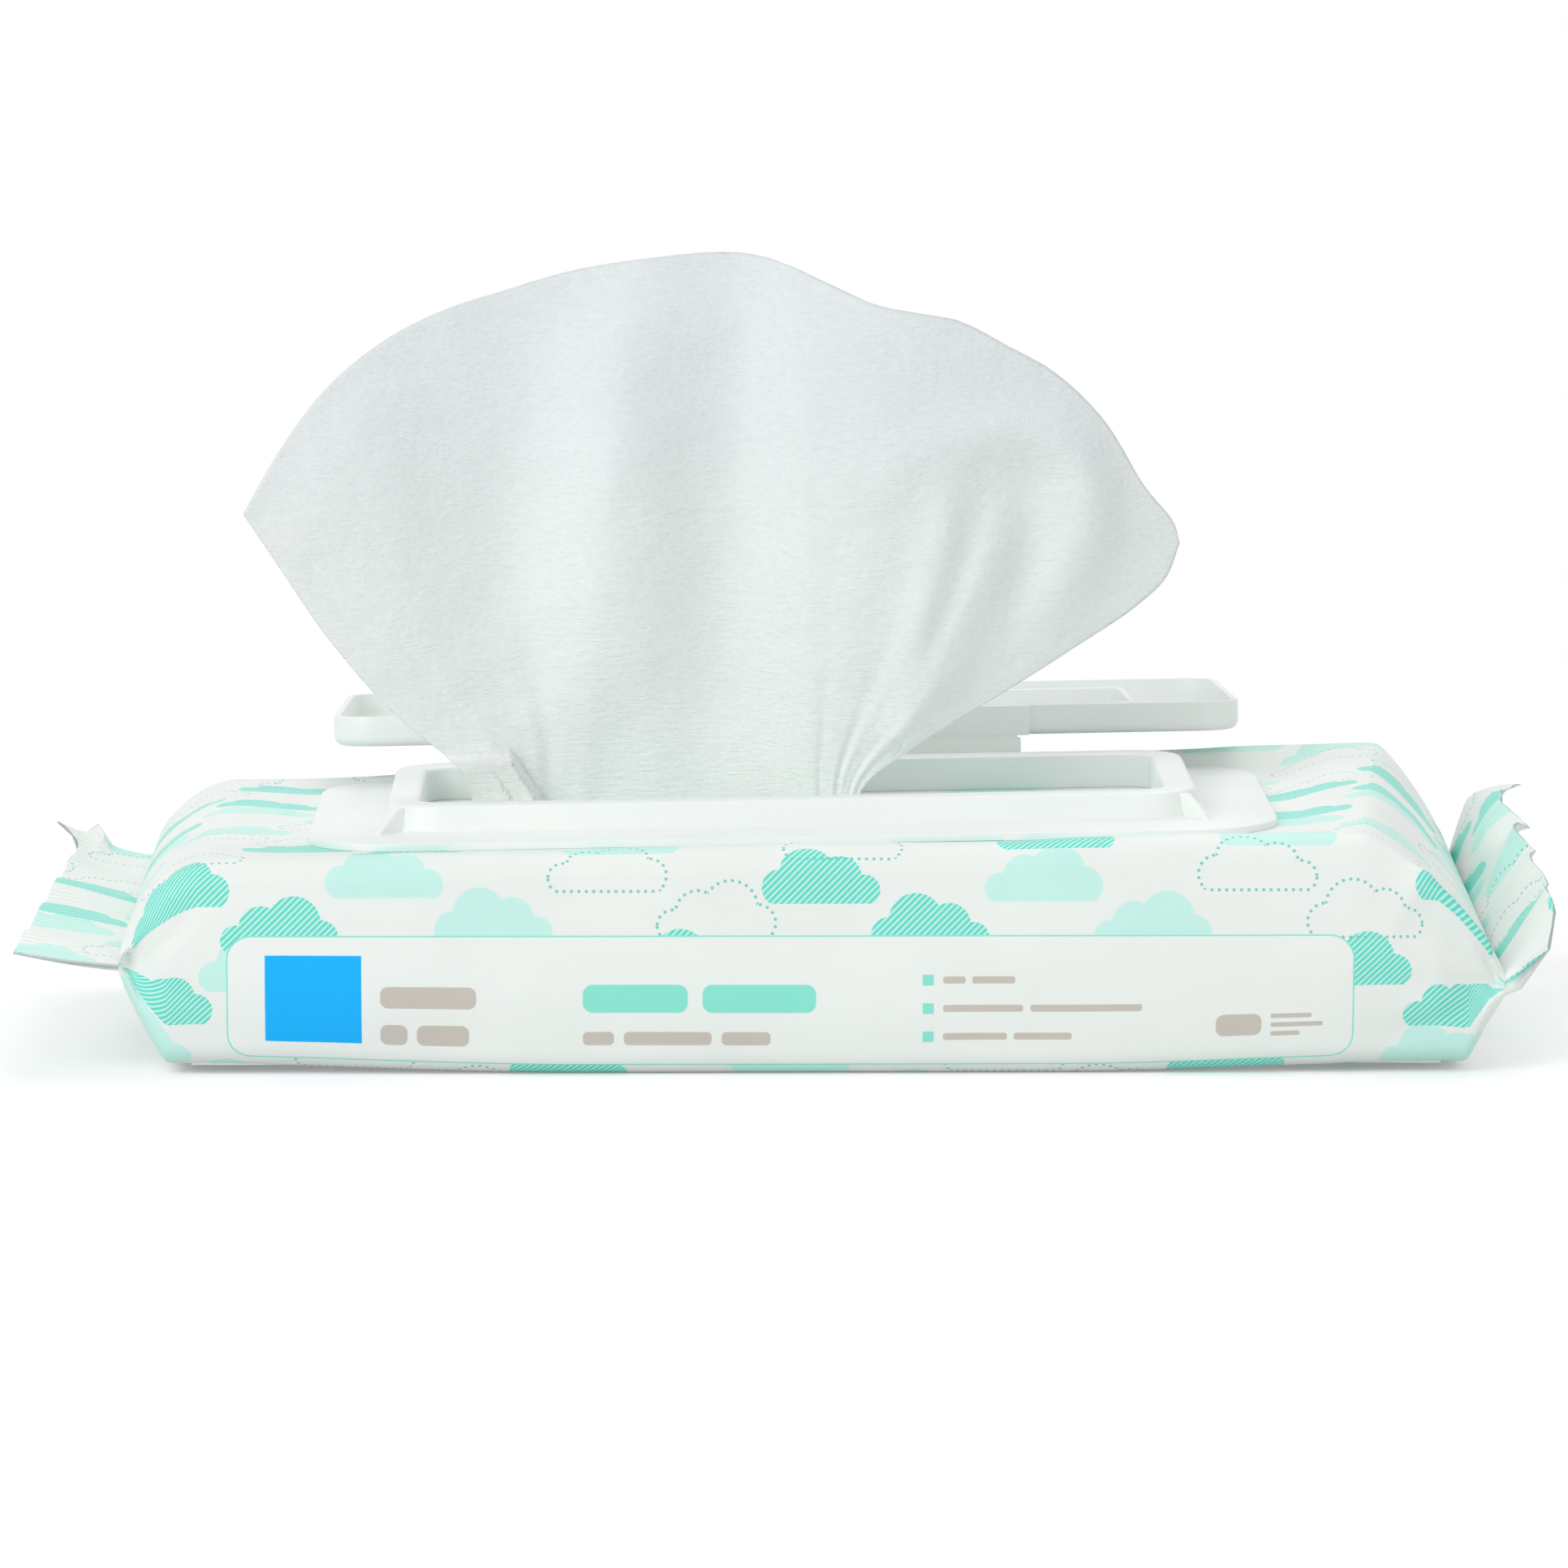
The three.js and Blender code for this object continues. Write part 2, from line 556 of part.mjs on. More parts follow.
// Thin triangular rib that braces a front corner of the ring on the flange.
function cornerRib(side) {
  const height = RING_TOP - FLANGE_TOP - 0.6;
  const profile = new THREE.Shape([
    new THREE.Vector2(-1.5, -0.2),
    new THREE.Vector2(CORNER_RIB_LENGTH, -0.2),
    new THREE.Vector2(0.8, height),
    new THREE.Vector2(-1.5, height),
  ]);
  const rib = new THREE.ExtrudeGeometry(profile, { depth: CORNER_RIB_THICKNESS, bevelEnabled: false });
  rib.translate(0, 0, -CORNER_RIB_THICKNESS / 2).rotateX(Math.PI / 2);
  const reach = RING_RADIUS * (1 - Math.SQRT1_2);
  rib.rotateZ(side < 0 ? -3 * Math.PI / 4 : -Math.PI / 4);
  rib.translate(side * (RING_WIDTH / 2 - reach), -(RING_DEPTH / 2 - reach), FLANGE_TOP);
  return toManifold(rib);
}

function frameGeometry() {
  const flange = roundedBlock(FLANGE_WIDTH, FLANGE_DEPTH, FLANGE_RADIUS,
    [[SEAT_GAP, 0], [FLANGE_TOP - 0.3, 0], [FLANGE_TOP, 0.3]]);
  const underRing = roundedBlock(RING_WIDTH, RING_DEPTH, RING_RADIUS, [[-1, MOULD_WALL], [2, MOULD_WALL]]);
  const tabBottom = FLANGE_TOP - 0.2;
  const tabTop = HINGE_Z - HINGE_GAP;
  const tab = box(HINGE_WIDTH - 3, MOULD_WALL + 0.3, tabTop - tabBottom,
    0, HINGE_Y + (HINGE_GAP + MOULD_WALL + 0.3) / 2, (tabTop + tabBottom) / 2);
  return toGeometry(flange.subtract(underRing).add(ringSolid()).subtract(windowCutter())
    .add(tab).add(cornerRib(-1)).add(cornerRib(1)));
}

// Lid, drawn closed and then turned about the hinge line

function lidSolid() {
  const centreY = LID_BACK - LID_DEPTH / 2;
  const rim = FLANGE_TOP + RIM_GAP;
  const top = rim + LID_HEIGHT;
  const shell = roundedBlock(LID_WIDTH, LID_DEPTH, LID_RADIUS,
    [[rim, 0], [top - LID_EDGE_ROUND, 0], [top - 0.45 * LID_EDGE_ROUND, 0.17 * LID_EDGE_ROUND],
      [top - 0.12 * LID_EDGE_ROUND, 0.53 * LID_EDGE_ROUND], [top, LID_EDGE_ROUND]], centreY);
  const ceiling = top - LID_PLATE;
  const plugEnd = ceiling - PLUG_HEIGHT;
  const hollow = roundedBlock(LID_WIDTH, LID_DEPTH, LID_RADIUS,
    [[rim - 1, MOULD_WALL], [ceiling - 0.8, MOULD_WALL], [ceiling, MOULD_WALL + 0.8]], centreY);
  const plugOutside = roundedBlock(WINDOW_WIDTH, WINDOW_DEPTH, WINDOW_RADIUS,
    [[plugEnd, PLUG_CLEARANCE + 0.3], [plugEnd + 0.6, PLUG_CLEARANCE],
      [ceiling + 0.2, PLUG_CLEARANCE]]);
  const plugInside = roundedBlock(WINDOW_WIDTH, WINDOW_DEPTH, WINDOW_RADIUS,
    [[0, PLUG_CLEARANCE + MOULD_WALL], [top + 1, PLUG_CLEARANCE + MOULD_WALL]]);
  const boss = box(HINGE_WIDTH, HINGE_BOSS + 0.5, LID_HEIGHT,
    0, LID_BACK + (HINGE_BOSS - 0.5) / 2, rim + LID_HEIGHT / 2);
  const tabDepth = THUMB_TAB.reach + MOULD_WALL;
  const thumbTab = roundedBlock(THUMB_TAB.width, 2 * tabDepth, tabDepth - 0.1,
    [[rim, 0], [rim + THUMB_TAB.thickness, 0.2]], LID_BACK - LID_DEPTH + MOULD_WALL);
  const outside = shell.add(boss).add(thumbTab);
  return outside.subtract(hollow).add(plugOutside.subtract(plugInside));
}

function lidGeometry() {
  const geometry = toGeometry(lidSolid());
  return geometry.translate(0, -HINGE_Y, -HINGE_Z);
}

// Scene

function material(colour, roughness) {
  return new THREE.MeshStandardMaterial({ color: colour, roughness, metalness: 0 });
}

function mesh(name, geometry, surface) {
  const result = new THREE.Mesh(geometry, surface);
  result.name = name;
  return result;
}

const film = material(0xdff3ee, 0.35);
const cloth = material(0xe4eceb, 0.95);
const moulding = material(0xf2f5f4, 0.4);

const lid = mesh('lid', lidGeometry(), moulding);
lid.position.set(0, HINGE_Y, HINGE_Z);
lid.rotation.x = -OPEN_ANGLE;

const dispenser = new THREE.Group();
dispenser.position.set(DISPENSER_X, 0, PACK_HEIGHT);
dispenser.rotation.y = -TOP_ROLL;
dispenser.add(mesh('dispenser_frame', frameGeometry(), moulding), lid);

const pulledWipe = mesh('pulled_wipe', wipeGeometry(), cloth);
pulledWipe.position.set(DISPENSER_X, 0, PACK_HEIGHT);

const pack = new THREE.Group();
pack.add(mesh('film_wrapper', wrapperGeometry(), film));
pack.add(mesh('wipe_stack', stackGeometry(), cloth));
pack.add(pulledWipe, dispenser);

export default pack;
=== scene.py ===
import functools
import math

import bmesh
import bpy
import numpy as np
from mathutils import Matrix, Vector, noise


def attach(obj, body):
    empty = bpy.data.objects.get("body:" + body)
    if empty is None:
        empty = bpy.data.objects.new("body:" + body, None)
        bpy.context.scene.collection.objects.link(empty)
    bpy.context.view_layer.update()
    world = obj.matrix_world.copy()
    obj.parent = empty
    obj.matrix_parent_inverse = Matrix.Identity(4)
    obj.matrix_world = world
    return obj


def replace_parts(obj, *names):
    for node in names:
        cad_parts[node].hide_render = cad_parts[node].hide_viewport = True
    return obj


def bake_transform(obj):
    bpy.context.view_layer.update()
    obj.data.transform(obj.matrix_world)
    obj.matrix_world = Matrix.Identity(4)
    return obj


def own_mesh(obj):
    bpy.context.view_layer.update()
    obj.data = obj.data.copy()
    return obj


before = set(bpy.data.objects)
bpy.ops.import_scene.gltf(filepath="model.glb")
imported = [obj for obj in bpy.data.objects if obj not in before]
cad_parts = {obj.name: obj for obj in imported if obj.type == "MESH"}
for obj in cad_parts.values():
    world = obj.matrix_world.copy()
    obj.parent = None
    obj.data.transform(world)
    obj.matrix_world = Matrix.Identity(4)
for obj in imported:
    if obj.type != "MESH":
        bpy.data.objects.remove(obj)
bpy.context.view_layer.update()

# Wet wipes pack. Sizes are in millimetres here and become metres where a mesh is made.
# x runs along the pack, y from its front to its back and z up from its underside.
MM = 0.001

# Pack. SWELL: how far the film rises past the dispenser at either end, over SWELL_RUN.
# FRONT_SWELL: the share of it along the front.
BASE_LENGTH = 197
PACK_DEPTH = 100
PACK_HEIGHT = 34
HALF_DEPTH = PACK_DEPTH / 2
SIDE_BULGE = 1.2
BASE_RADIUS = 4
SHOULDER_RADIUS = 5
TOP_ROLL = math.radians(1)
SWELL = {-1: 1.2, 1: 3.5}
FRONT_SWELL = 0.3
SWELL_RUN = 13
FILM_THICKNESS = 0.25
SEAL_THICKNESS = 0.6
SEAL_INSET = 1
RIPPLE_PITCH = 21
FINE_RIPPLE_PITCH = 9.3
# The right front shoulder is pinched towards its fin: where along x, its radius there, how far its
# lip stands out and how far the film caves in below it, at a share of the side and over a share
PINCH = dict(start=84, full=98, radius=1.3, lip=1.5, hollow=1.3, level=0.84, width=0.13)
# The two ends; pairs are front and back. reach: from the flat underside to the root of the fin.
# under: length over which the underside rises to it. gape: how far the layers part at the front.
# tuck: how far the sides fold in, from tuck_from on. fin and angle: its lengths and angles at its
# front corner, just behind that and at the back. fold_from: y and share of the fin where its back
# corner is folded. tips: points bent out of its edge, as y and reach along it, share and reach
# across it, then how far out and up.
ENDS = {
    -1: dict(reach=7.3, under=7.4, under_power=1.25, rise=(16.4, 20.5), slope=(14, 14), power=1.8,
             gape=0.5, tuck=3.6, tuck_from=98.6, fin=(16, 16, 12), angle=(7.5, 7.5, 17), ripple=0.5,
             sag=4.0, curl=(4.4, 1.8), corner_run=10, fold_from=(42, 0.62),
             tips=[(49, 6, 0.72, 0.1, 0, 2.7)]),
    1: dict(reach=5.7, under=5.6, under_power=1.05, rise=(14.2, 20), slope=(22, 12), power=1.25,
            gape=3.2, tuck=2.6, tuck_from=94.0, fin=(7.5, 13.5, 15), angle=(42, 53, 63), ripple=0.8,
            sag=-11.0, curl=(5.4, -1.6), corner_run=9, fold_from=(38, 0.5),
            tips=[(20, 5, 1, 0.4, 3.6, -2.6)]),
}
FIN_SHARES = [0.04, 0.12, 0.22, 0.32, 0.42, 0.52, 0.62, 0.72, 0.8, 0.87, 0.94, 1]
END_LIFT = 1.6
# Layers of unevenness: height, size over which it varies, and seed
FILM_UNEVEN = [(0.45, 30, 1.7), (0.16, 11, 5.1)]
CLOTH_UNEVEN = [(0.5, 24, 3.3), (0.3, 8, 7.7), (0.08, 3, 1.1)]

# Opening in the film
SLOT_LENGTH = 74
SLOT_WIDTH = 16
SLOT_X = -20

# Dispenser, measured from the film up and from its own middle
DISPENSER_X = -3.4
GLUE_LINE = 0.03
FLANGE = dict(width=149, depth=79, radius=14)
RING = dict(width=126, depth=56, radius=9)
WINDOW = dict(width=114.8, depth=44.8, radius=4.1)
ROUND_STEPS = 10
FLANGE_TOP = 1.2
RING_TOP = 5.4
SEAT_X = FLANGE["width"] / 2 + 1
SEAT_Y = FLANGE["depth"] / 2 + 1
WALL = 1.1
LID = dict(width=146, depth=71, radius=7, rim=1.8, top=6.6, back=34.5)
LID_EDGE_ROUND = 1.5
CEILING = LID["top"] - 0.9
PLUG_HEIGHT = 3.4
THUMB_TAB = dict(width=24, depth=6.6, radius=3.2)
HINGE_Y = 35.75
HINGE_Z = 6.8
HINGE_WIDTH = 78
HINGE_GAP = 0.3
OPEN_ANGLE = math.radians(183.4)

# Wipes, cut 200 by 150: 39 in the stack and the one that is pulled
STACKED_WIPES = 39
STACK_FOOT = 1.3
STACK_END_GAP = 3.7
STACK_SIDE_GAP = 1.4
STACK_TOP_GAP = 4.4
WIPE_THICKNESS = 0.24
EXIT_Y = -5.0
# The pulled wipe's tail: half its width on the stack, and how far it runs back and then forward
TAIL_HALF = 90
TAIL_BACK = 42
TAIL_FORWARD = 50


def mix(a, b, share):
    return a + (b - a) * share


def smooth(value, low, high):
    share = np.clip((value - low) / (high - low), 0.0, 1.0)
    return share * share * (3 - 2 * share)


def turned(a, b, angle):
    return a * math.cos(angle) - b * math.sin(angle), a * math.sin(angle) + b * math.cos(angle)


def rough(x, y, z, size, seed):
    """Gentle random value from -1 to 1 that varies over the given size."""
    return noise.noise(Vector((x / size + seed, y / size - seed, z / size + 3 * seed)))


def unevenness(points, layers):
    """How far each point of a grid is out of the even surface."""
    return np.array([[sum(height * rough(*place, size, seed) for height, size, seed in layers)
                      for place in row] for row in points])


# Making meshes


def placed(name, data):
    made = bpy.data.objects.new(name, data)
    bpy.context.scene.collection.objects.link(made)
    return made


def new_piece(name, points, faces, body, uvs=None, crisp=None):
    """Piece from points in millimetres; uvs holds one pair for each corner of each face."""
    mesh = bpy.data.meshes.new(name)
    mesh.from_pydata((np.asarray(points, float) * MM).tolist(), [], faces)
    if uvs is not None:
        layer = mesh.uv_layers.new(name="Sheet")
        layer.data.foreach_set("uv", np.asarray(uvs, np.float32).ravel())
    build = bmesh.new()
    build.from_mesh(mesh)
    bmesh.ops.recalc_face_normals(build, faces=build.faces)
    build.to_mesh(mesh)
    build.free()
    mesh.shade_smooth()
    if crisp is not None:
        mesh.set_sharp_from_angle(angle=math.radians(crisp))
    piece = placed(name, mesh)
    if body:
        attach(piece, body)
    return piece


def finish_with(piece, material):
    piece.data.materials.clear()
    piece.data.materials.append(material)


def apply_modifiers(piece):
    evaluated = piece.evaluated_get(bpy.context.evaluated_depsgraph_get())
    mesh = bpy.data.meshes.new_from_object(evaluated)
    piece.modifiers.clear()
    piece.data = mesh


def grid_faces(rows, columns, loop_columns=False, loop_rows=False):
    """Corner pairs (row, column) of the faces of a grid; a joined side counts on past the end."""
    last_row = rows if loop_rows else rows - 1
    last_column = columns if loop_columns else columns - 1
    return [
        ((r, c), (r, c + 1), (r + 1, c + 1), (r + 1, c))
        for r in range(last_row)
        for c in range(last_column)
    ]


def numbered(corners, rows, columns):
    """Faces whose corners are counted row by row."""
    return [[(r % rows) * columns + c % columns for r, c in face] for face in corners]


def loft(name, outlines, body, closed=False, crisp=35):
    """Piece through a row of outlines with equally many points, capped unless closed on itself."""
    rows, columns = len(outlines), len(outlines[0])
    corners = grid_faces(rows, columns, loop_columns=True, loop_rows=closed)
    faces = numbered(corners, rows, columns)
    if not closed:
        faces.append(list(range(columns)))
        faces.append(list(range((rows - 1) * columns, rows * columns)))
    return new_piece(name, np.concatenate(outlines), faces, body, crisp=crisp)


def inset_outline(size, inset, z, centre_y=0.0):
    """Rounded rectangle, smaller than its size by the inset on each side."""
    half_x, half_y = size["width"] / 2 - inset, size["depth"] / 2 - inset
    radius = max(size["radius"] - inset, 0.4)
    points = []
    for corner, (side_x, side_y) in enumerate([(1, -1), (1, 1), (-1, 1), (-1, -1)]):
        for step in range(ROUND_STEPS + 1):
            x, y = turned(radius, 0, (corner - 1 + step / ROUND_STEPS) * math.pi / 2)
            points.append((side_x * (half_x - radius) + x, centre_y + side_y * (half_y - radius) + y, z))
    return np.array(points)


def in_dispenser(points):
    """From the dispenser's own place, level and centred, to its place on the pack."""
    x, y, z = np.moveaxis(np.asarray(points, float), -1, 0)
    x, z = turned(x, z, TOP_ROLL)
    return np.stack([DISPENSER_X + x, y, PACK_HEIGHT + z], axis=-1)


def opened(points):
    """From the closed lid's place to the open lid's."""
    x, y, z = np.moveaxis(np.asarray(points, float), -1, 0)
    y, z = turned(y - HINGE_Y, z - HINGE_Z, -OPEN_ANGLE)
    return in_dispenser(np.stack([x, HINGE_Y + y, HINGE_Z + z], axis=-1))


# Nodes


def operator(operation, swapped=False):
    """Method of Value that works out one operation with the values given."""
    def method(self, *others):
        return self.sum(operation, *others, self) if swapped else self.sum(operation, self, *others)
    return method


class Value:
    """A socket that takes part in sums."""

    def __init__(self, nodes, socket):
        self.nodes = nodes
        self.socket = socket

    def sum(self, operation, *values):
        return self.nodes.node("ShaderNodeMath", {"operation": operation}, dict(enumerate(values)))

    __add__ = __radd__ = operator("ADD")
    __sub__ = operator("SUBTRACT")
    __rsub__ = operator("SUBTRACT", swapped=True)
    __mul__ = __rmul__ = operator("MULTIPLY")
    __truediv__ = operator("DIVIDE")
    __mod__ = operator("FLOORED_MODULO")
    __abs__ = operator("ABSOLUTE")
    __gt__ = operator("GREATER_THAN")
    __lt__ = operator("LESS_THAN")
    floor = operator("FLOOR")
    sine = operator("SINE")
    root = operator("SQRT")
    least = operator("MINIMUM")
    most = operator("MAXIMUM")
    # Angle of the flat vector (self, other)
    angle = operator("ARCTAN2", swapped=True)

    def vector(self, operation, *values, output=0):
        inputs = dict(enumerate((self, *values)))
        return self.nodes.node("ShaderNodeVectorMath", {"operation": operation}, inputs, output)

    def ramp(self, low, high, start=0.0, stop=1.0):
        inputs = {"Value": self, "From Min": low, "From Max": high, "To Min": start, "To Max": stop}
        return self.nodes.node("ShaderNodeMapRange", {"clamp": True}, inputs)

    def ink(self, edge=0.05):
        """1 where this distance is inside a printed shape and 0 outside, over a soft edge."""
        return self.ramp(-edge, edge, 1.0, 0.0)


class Nodes:
    """A node tree that is filled one node at a time."""

    def __init__(self, tree):
        self.tree = tree
        tree.nodes.clear()

    def node(self, kind, settings=None, inputs=None, output=0):
        made = self.tree.nodes.new(kind)
        for key, value in (settings or {}).items():
            setattr(made, key, value)
        for key, value in (inputs or {}).items():
            if isinstance(value, Value):
                self.tree.links.new(value.socket, made.inputs[key])
            else:
                made.inputs[key].default_value = value
        return Value(self, made.outputs[output])

    def split(self, vector):
        made = self.node("ShaderNodeSeparateXYZ", inputs={0: vector}).socket.node
        return [Value(self, socket) for socket in made.outputs]

    def show(self, result, kind):
        """Leads the result to an output node of the given kind."""
        self.tree.links.new(result.socket, self.tree.nodes.new(kind).inputs[0])


class Shader(Nodes):
    """The nodes of a new material or world."""

    def __init__(self, owner):
        owner.use_nodes = True
        super().__init__(owner.node_tree)
        self.owner = owner

    def place(self):
        """Place on the object, in millimetres."""
        where = self.node("ShaderNodeTexCoord", output="Object")
        return where.vector("MULTIPLY", (1000.0, 1000.0, 1000.0))

    def sheet(self):
        """Place on the flat sheet, in millimetres."""
        where = self.node("ShaderNodeUVMap", {"uv_map": "Sheet"})
        return where.vector("MULTIPLY", (100.0, 100.0, 0.0))

    def grain(self, place, stretch, detail=2.0, roughness=0.5):
        """Random value round 0.5 that varies over the given length along each axis."""
        scaled = place.vector("MULTIPLY", tuple(1 / length for length in stretch))
        return self.node("ShaderNodeTexNoise", inputs={
            "Vector": scaled, "Scale": 1.0, "Detail": detail, "Roughness": roughness})

    def mixed(self, share, first, second, blend="MIX"):
        """Colour between two others."""
        return self.node("ShaderNodeMix", {"data_type": "RGBA", "blend_type": blend},
                         {0: share, 6: first, 7: second}, 2)

    def shaded(self, first, share):
        """The colour made darker by a share that varies over the surface."""
        grey = self.node("ShaderNodeCombineXYZ", inputs={0: share, 1: share, 2: share})
        return self.mixed(1.0, first, grey, "MULTIPLY")

    def bump(self, height, distance, strength, **under):
        inputs = {"Height": height, "Distance": distance * MM, "Strength": strength, **under}
        return self.node("ShaderNodeBump", inputs=inputs)

    def finish(self, **inputs):
        names = {key.replace("_", " "): value for key, value in inputs.items()}
        self.show(self.node("ShaderNodeBsdfPrincipled", inputs=names), "ShaderNodeOutputMaterial")
        return self.owner


# Film wrapper


def film_top(x):
    return PACK_HEIGHT + (x - DISPENSER_X) * math.tan(TOP_ROLL)


def side_of(x):
    return -1 if x < 0 else 1


def root_x(side):
    return BASE_LENGTH / 2 + ENDS[side]["reach"]


def front_to_back(pair, y):
    return mix(pair[0], pair[1], min(max((y + HALF_DEPTH) / PACK_DEPTH, 0), 1))


def closing(x, length, power):
    """Share of the full height left at x, down to 0 at the root of the fin."""
    run = min(max(1 - (root_x(side_of(x)) - abs(x)) / length, 0), 1)
    return (1 - run ** power) ** (1 / power)


def top_swell(x, y):
    size = mix(SWELL[-1], SWELL[1], smooth(x, -BASE_LENGTH / 2, BASE_LENGTH / 2))
    beside = smooth(abs(y), SEAT_Y, HALF_DEPTH - SHOULDER_RADIUS)
    past = smooth(abs(x - DISPENSER_X), SEAT_X, SEAT_X + SWELL_RUN)
    return size * mix(FRONT_SWELL, 1, smooth(y, -HALF_DEPTH, HALF_DEPTH)) * max(beside, past)


def top_height(x, y):
    end = ENDS[side_of(x)]
    sealed = front_to_back(end["rise"], y) + SEAL_THICKNESS / 2
    share = closing(x, front_to_back(end["slope"], y), end["power"])
    return mix(sealed, film_top(x) + top_swell(x, y), share)


def bottom_height(x, y):
    end = ENDS[side_of(x)]
    gape = end["gape"] * smooth(-y, 36, HALF_DEPTH)
    sealed = front_to_back(end["rise"], y) - SEAL_THICKNESS / 2 - gape
    return mix(sealed, 0, closing(x, end["under"], end["under_power"]))


HALF_BASE_STEPS = 11
CORNER_STEPS = 7
SIDE_STEPS = 18
TOP_STEPS = 46
SEAT_STATIONS = 130
END_STATIONS = 40


def half_section(x, sign, half, pinch):
    """Front or back half of the outline at x, from the middle of the underside to the top's edge."""
    end = ENDS[side_of(x)]
    root = root_x(side_of(x))
    tuck = end["tuck"] * min(max((abs(x) - end["tuck_from"]) / (root - end["tuck_from"]), 0), 1)
    tuck *= 1 - smooth(abs(x), root - 1.6, root)
    room = 0.3 * (top_height(x, sign * half) - bottom_height(x, sign * half))
    base, shoulder = min(BASE_RADIUS, room), min(SHOULDER_RADIUS, room)
    shoulder = min(mix(shoulder, PINCH["radius"], pinch), shoulder)
    low = bottom_height(x, sign * half) + base
    high = top_height(x, sign * (half - shoulder)) - shoulder
    points = []

    def corner(radius, middle, start, lip=0.0):
        for step in range(CORNER_STEPS + 1):
            reach = radius + lip * math.sin(math.pi * step / CORNER_STEPS) ** 2
            out, up = turned(reach, 0, (start + step / CORNER_STEPS) * math.pi / 2)
            points.append((x, sign * (half - radius + out), middle + up))

    for step in range(HALF_BASE_STEPS):
        y = sign * (half - base) * step / HALF_BASE_STEPS
        points.append((x, y, bottom_height(x, y)))
    corner(base, low, -1)
    for step in range(1, SIDE_STEPS):
        share = step / SIDE_STEPS
        fold = 1 - (2 * share - 1) ** 2
        bulge = SIDE_BULGE * closing(x, end["reach"], 2) * fold
        bulge -= PINCH["hollow"] * pinch * math.exp(-((share - PINCH["level"]) / PINCH["width"]) ** 2)
        points.append((x, sign * (half + bulge - tuck * fold), mix(low, high, share)))
    corner(shoulder, high, 0, PINCH["lip"] * pinch)
    return points


def film_section(x):
    """Outline of the wrapper at x, from the middle of the underside round by the front face."""
    half = HALF_DEPTH - SEAL_INSET * smooth(abs(x), BASE_LENGTH / 2, root_x(side_of(x)))
    pinch = smooth(x, PINCH["start"], PINCH["full"]) * (1 - smooth(x, root_x(1) - 3, root_x(1) - 0.5))
    front, back = half_section(x, -1, half, pinch), half_section(x, 1, half, 0)
    places = [mix(front[-1][1], back[-1][1], step / TOP_STEPS) for step in range(1, TOP_STEPS)]
    return np.array(front + [(x, y, top_height(x, y)) for y in places] + back[:0:-1])


def fin_section(side, share):
    """The section at the root carried out along the fin, with its ripples and its bent corner."""
    end = ENDS[side]
    points = film_section(side * root_x(side))
    for point in points:
        y = point[1]
        near_front = 1 - smooth(y, -HALF_DEPTH, -HALF_DEPTH + end["corner_run"])
        angle = math.radians(mix(front_to_back(end["angle"][1:], y), end["angle"][0], near_front))
        distance = share * mix(front_to_back(end["fin"][1:], y), end["fin"][0], near_front)
        middle = front_to_back(end["rise"], y)
        wave = math.sin(2 * math.pi * y / RIPPLE_PITCH)
        wave += 0.2 * math.sin(2 * math.pi * y / FINE_RIPPLE_PITCH + 1)
        wave = end["ripple"] * wave + 0.9 * rough(y, 4 * side, distance / 2, 9, 2.9)
        proud = point[2] - middle
        if proud < 0:
            proud *= 1 - 0.9 * share
        proud += share * wave
        from_y, from_share = end["fold_from"]
        past_y = (y - from_y) / (HALF_DEPTH - SEAL_INSET - from_y)
        corner = min(max(past_y + (share - from_share) / (1 - from_share) - 1, 0), 1)
        curl_out, curl_up = end["curl"]
        sag = end["sag"] * smooth(y, 5, 50) * share * (1 - share)
        out, up = turned(distance, proud, angle)
        out += curl_out * corner
        up += curl_up * corner - sag
        for tip_y, wide, tip_share, deep, tip_out, tip_up in end["tips"]:
            tip = max(1 - abs(y - tip_y) / wide, 0) * max(1 - abs(share - tip_share) / deep, 0)
            out += tip_out * tip
            up += tip_up * tip
        point[0] = side * (root_x(side) + out)
        point[1] = y - 2.0 * corner
        point[2] = middle + up
    return points


def film_stations():
    places = list(np.linspace(DISPENSER_X - SEAT_X, DISPENSER_X + SEAT_X, SEAT_STATIONS))
    for side in (-1, 1):
        for step in range(1, END_STATIONS + 1):
            share = math.sin(step / END_STATIONS * math.pi / 2)
            places.append(mix(DISPENSER_X + side * SEAT_X, side * root_x(side), share))
    return sorted(places)


# Creases of the film: from and to as (x, y, z), then depth and width. They start at the gussets.
CREASES = [
    ((100, -50, 13), (82, -51, 27), -0.8, 1.8), ((100, -50, 12), (80, -51, 15), -0.6, 2.2),
    ((98, -50, 9), (84, -51, 3), -0.6, 1.6), ((92, -50, 31), (85, -51, 20), 0.7, 1.8),
    ((-102, -50, 17), (-93, -51, 27), -0.7, 1.6), ((-101, -50, 14), (-90, -51, 9), -0.6, 1.8),
    ((103, -44, 15), (86, -20, 35), -0.8, 2.2), ((103, -30, 16), (84, 10, 37), 0.7, 3.0),
    ((103, -5, 18), (86, 35, 39), -0.7, 2.6), ((-104, -35, 18), (-90, -10, 33), -0.6, 2.2),
    ((-104, 0, 20), (-90, 25, 33), 0.6, 2.6), ((100, 50, 17), (84, 51, 28), -0.7, 2.0),
    ((-101, 50, 20), (-90, 51, 14), -0.7, 2.0),
]


def crease_depth(points):
    total = np.zeros(points.shape[:-1])
    for start, stop, depth, width in CREASES:
        start, stop = np.array(start, float), np.array(stop, float)
        run = stop - start
        share = np.clip(((points - start) @ run) / (run @ run), 0, 1)
        away = np.linalg.norm(points - (start + share[..., None] * run), axis=-1)
        total += depth * np.exp(-(away / width) ** 2) * (1 - share) ** 0.5
    return total


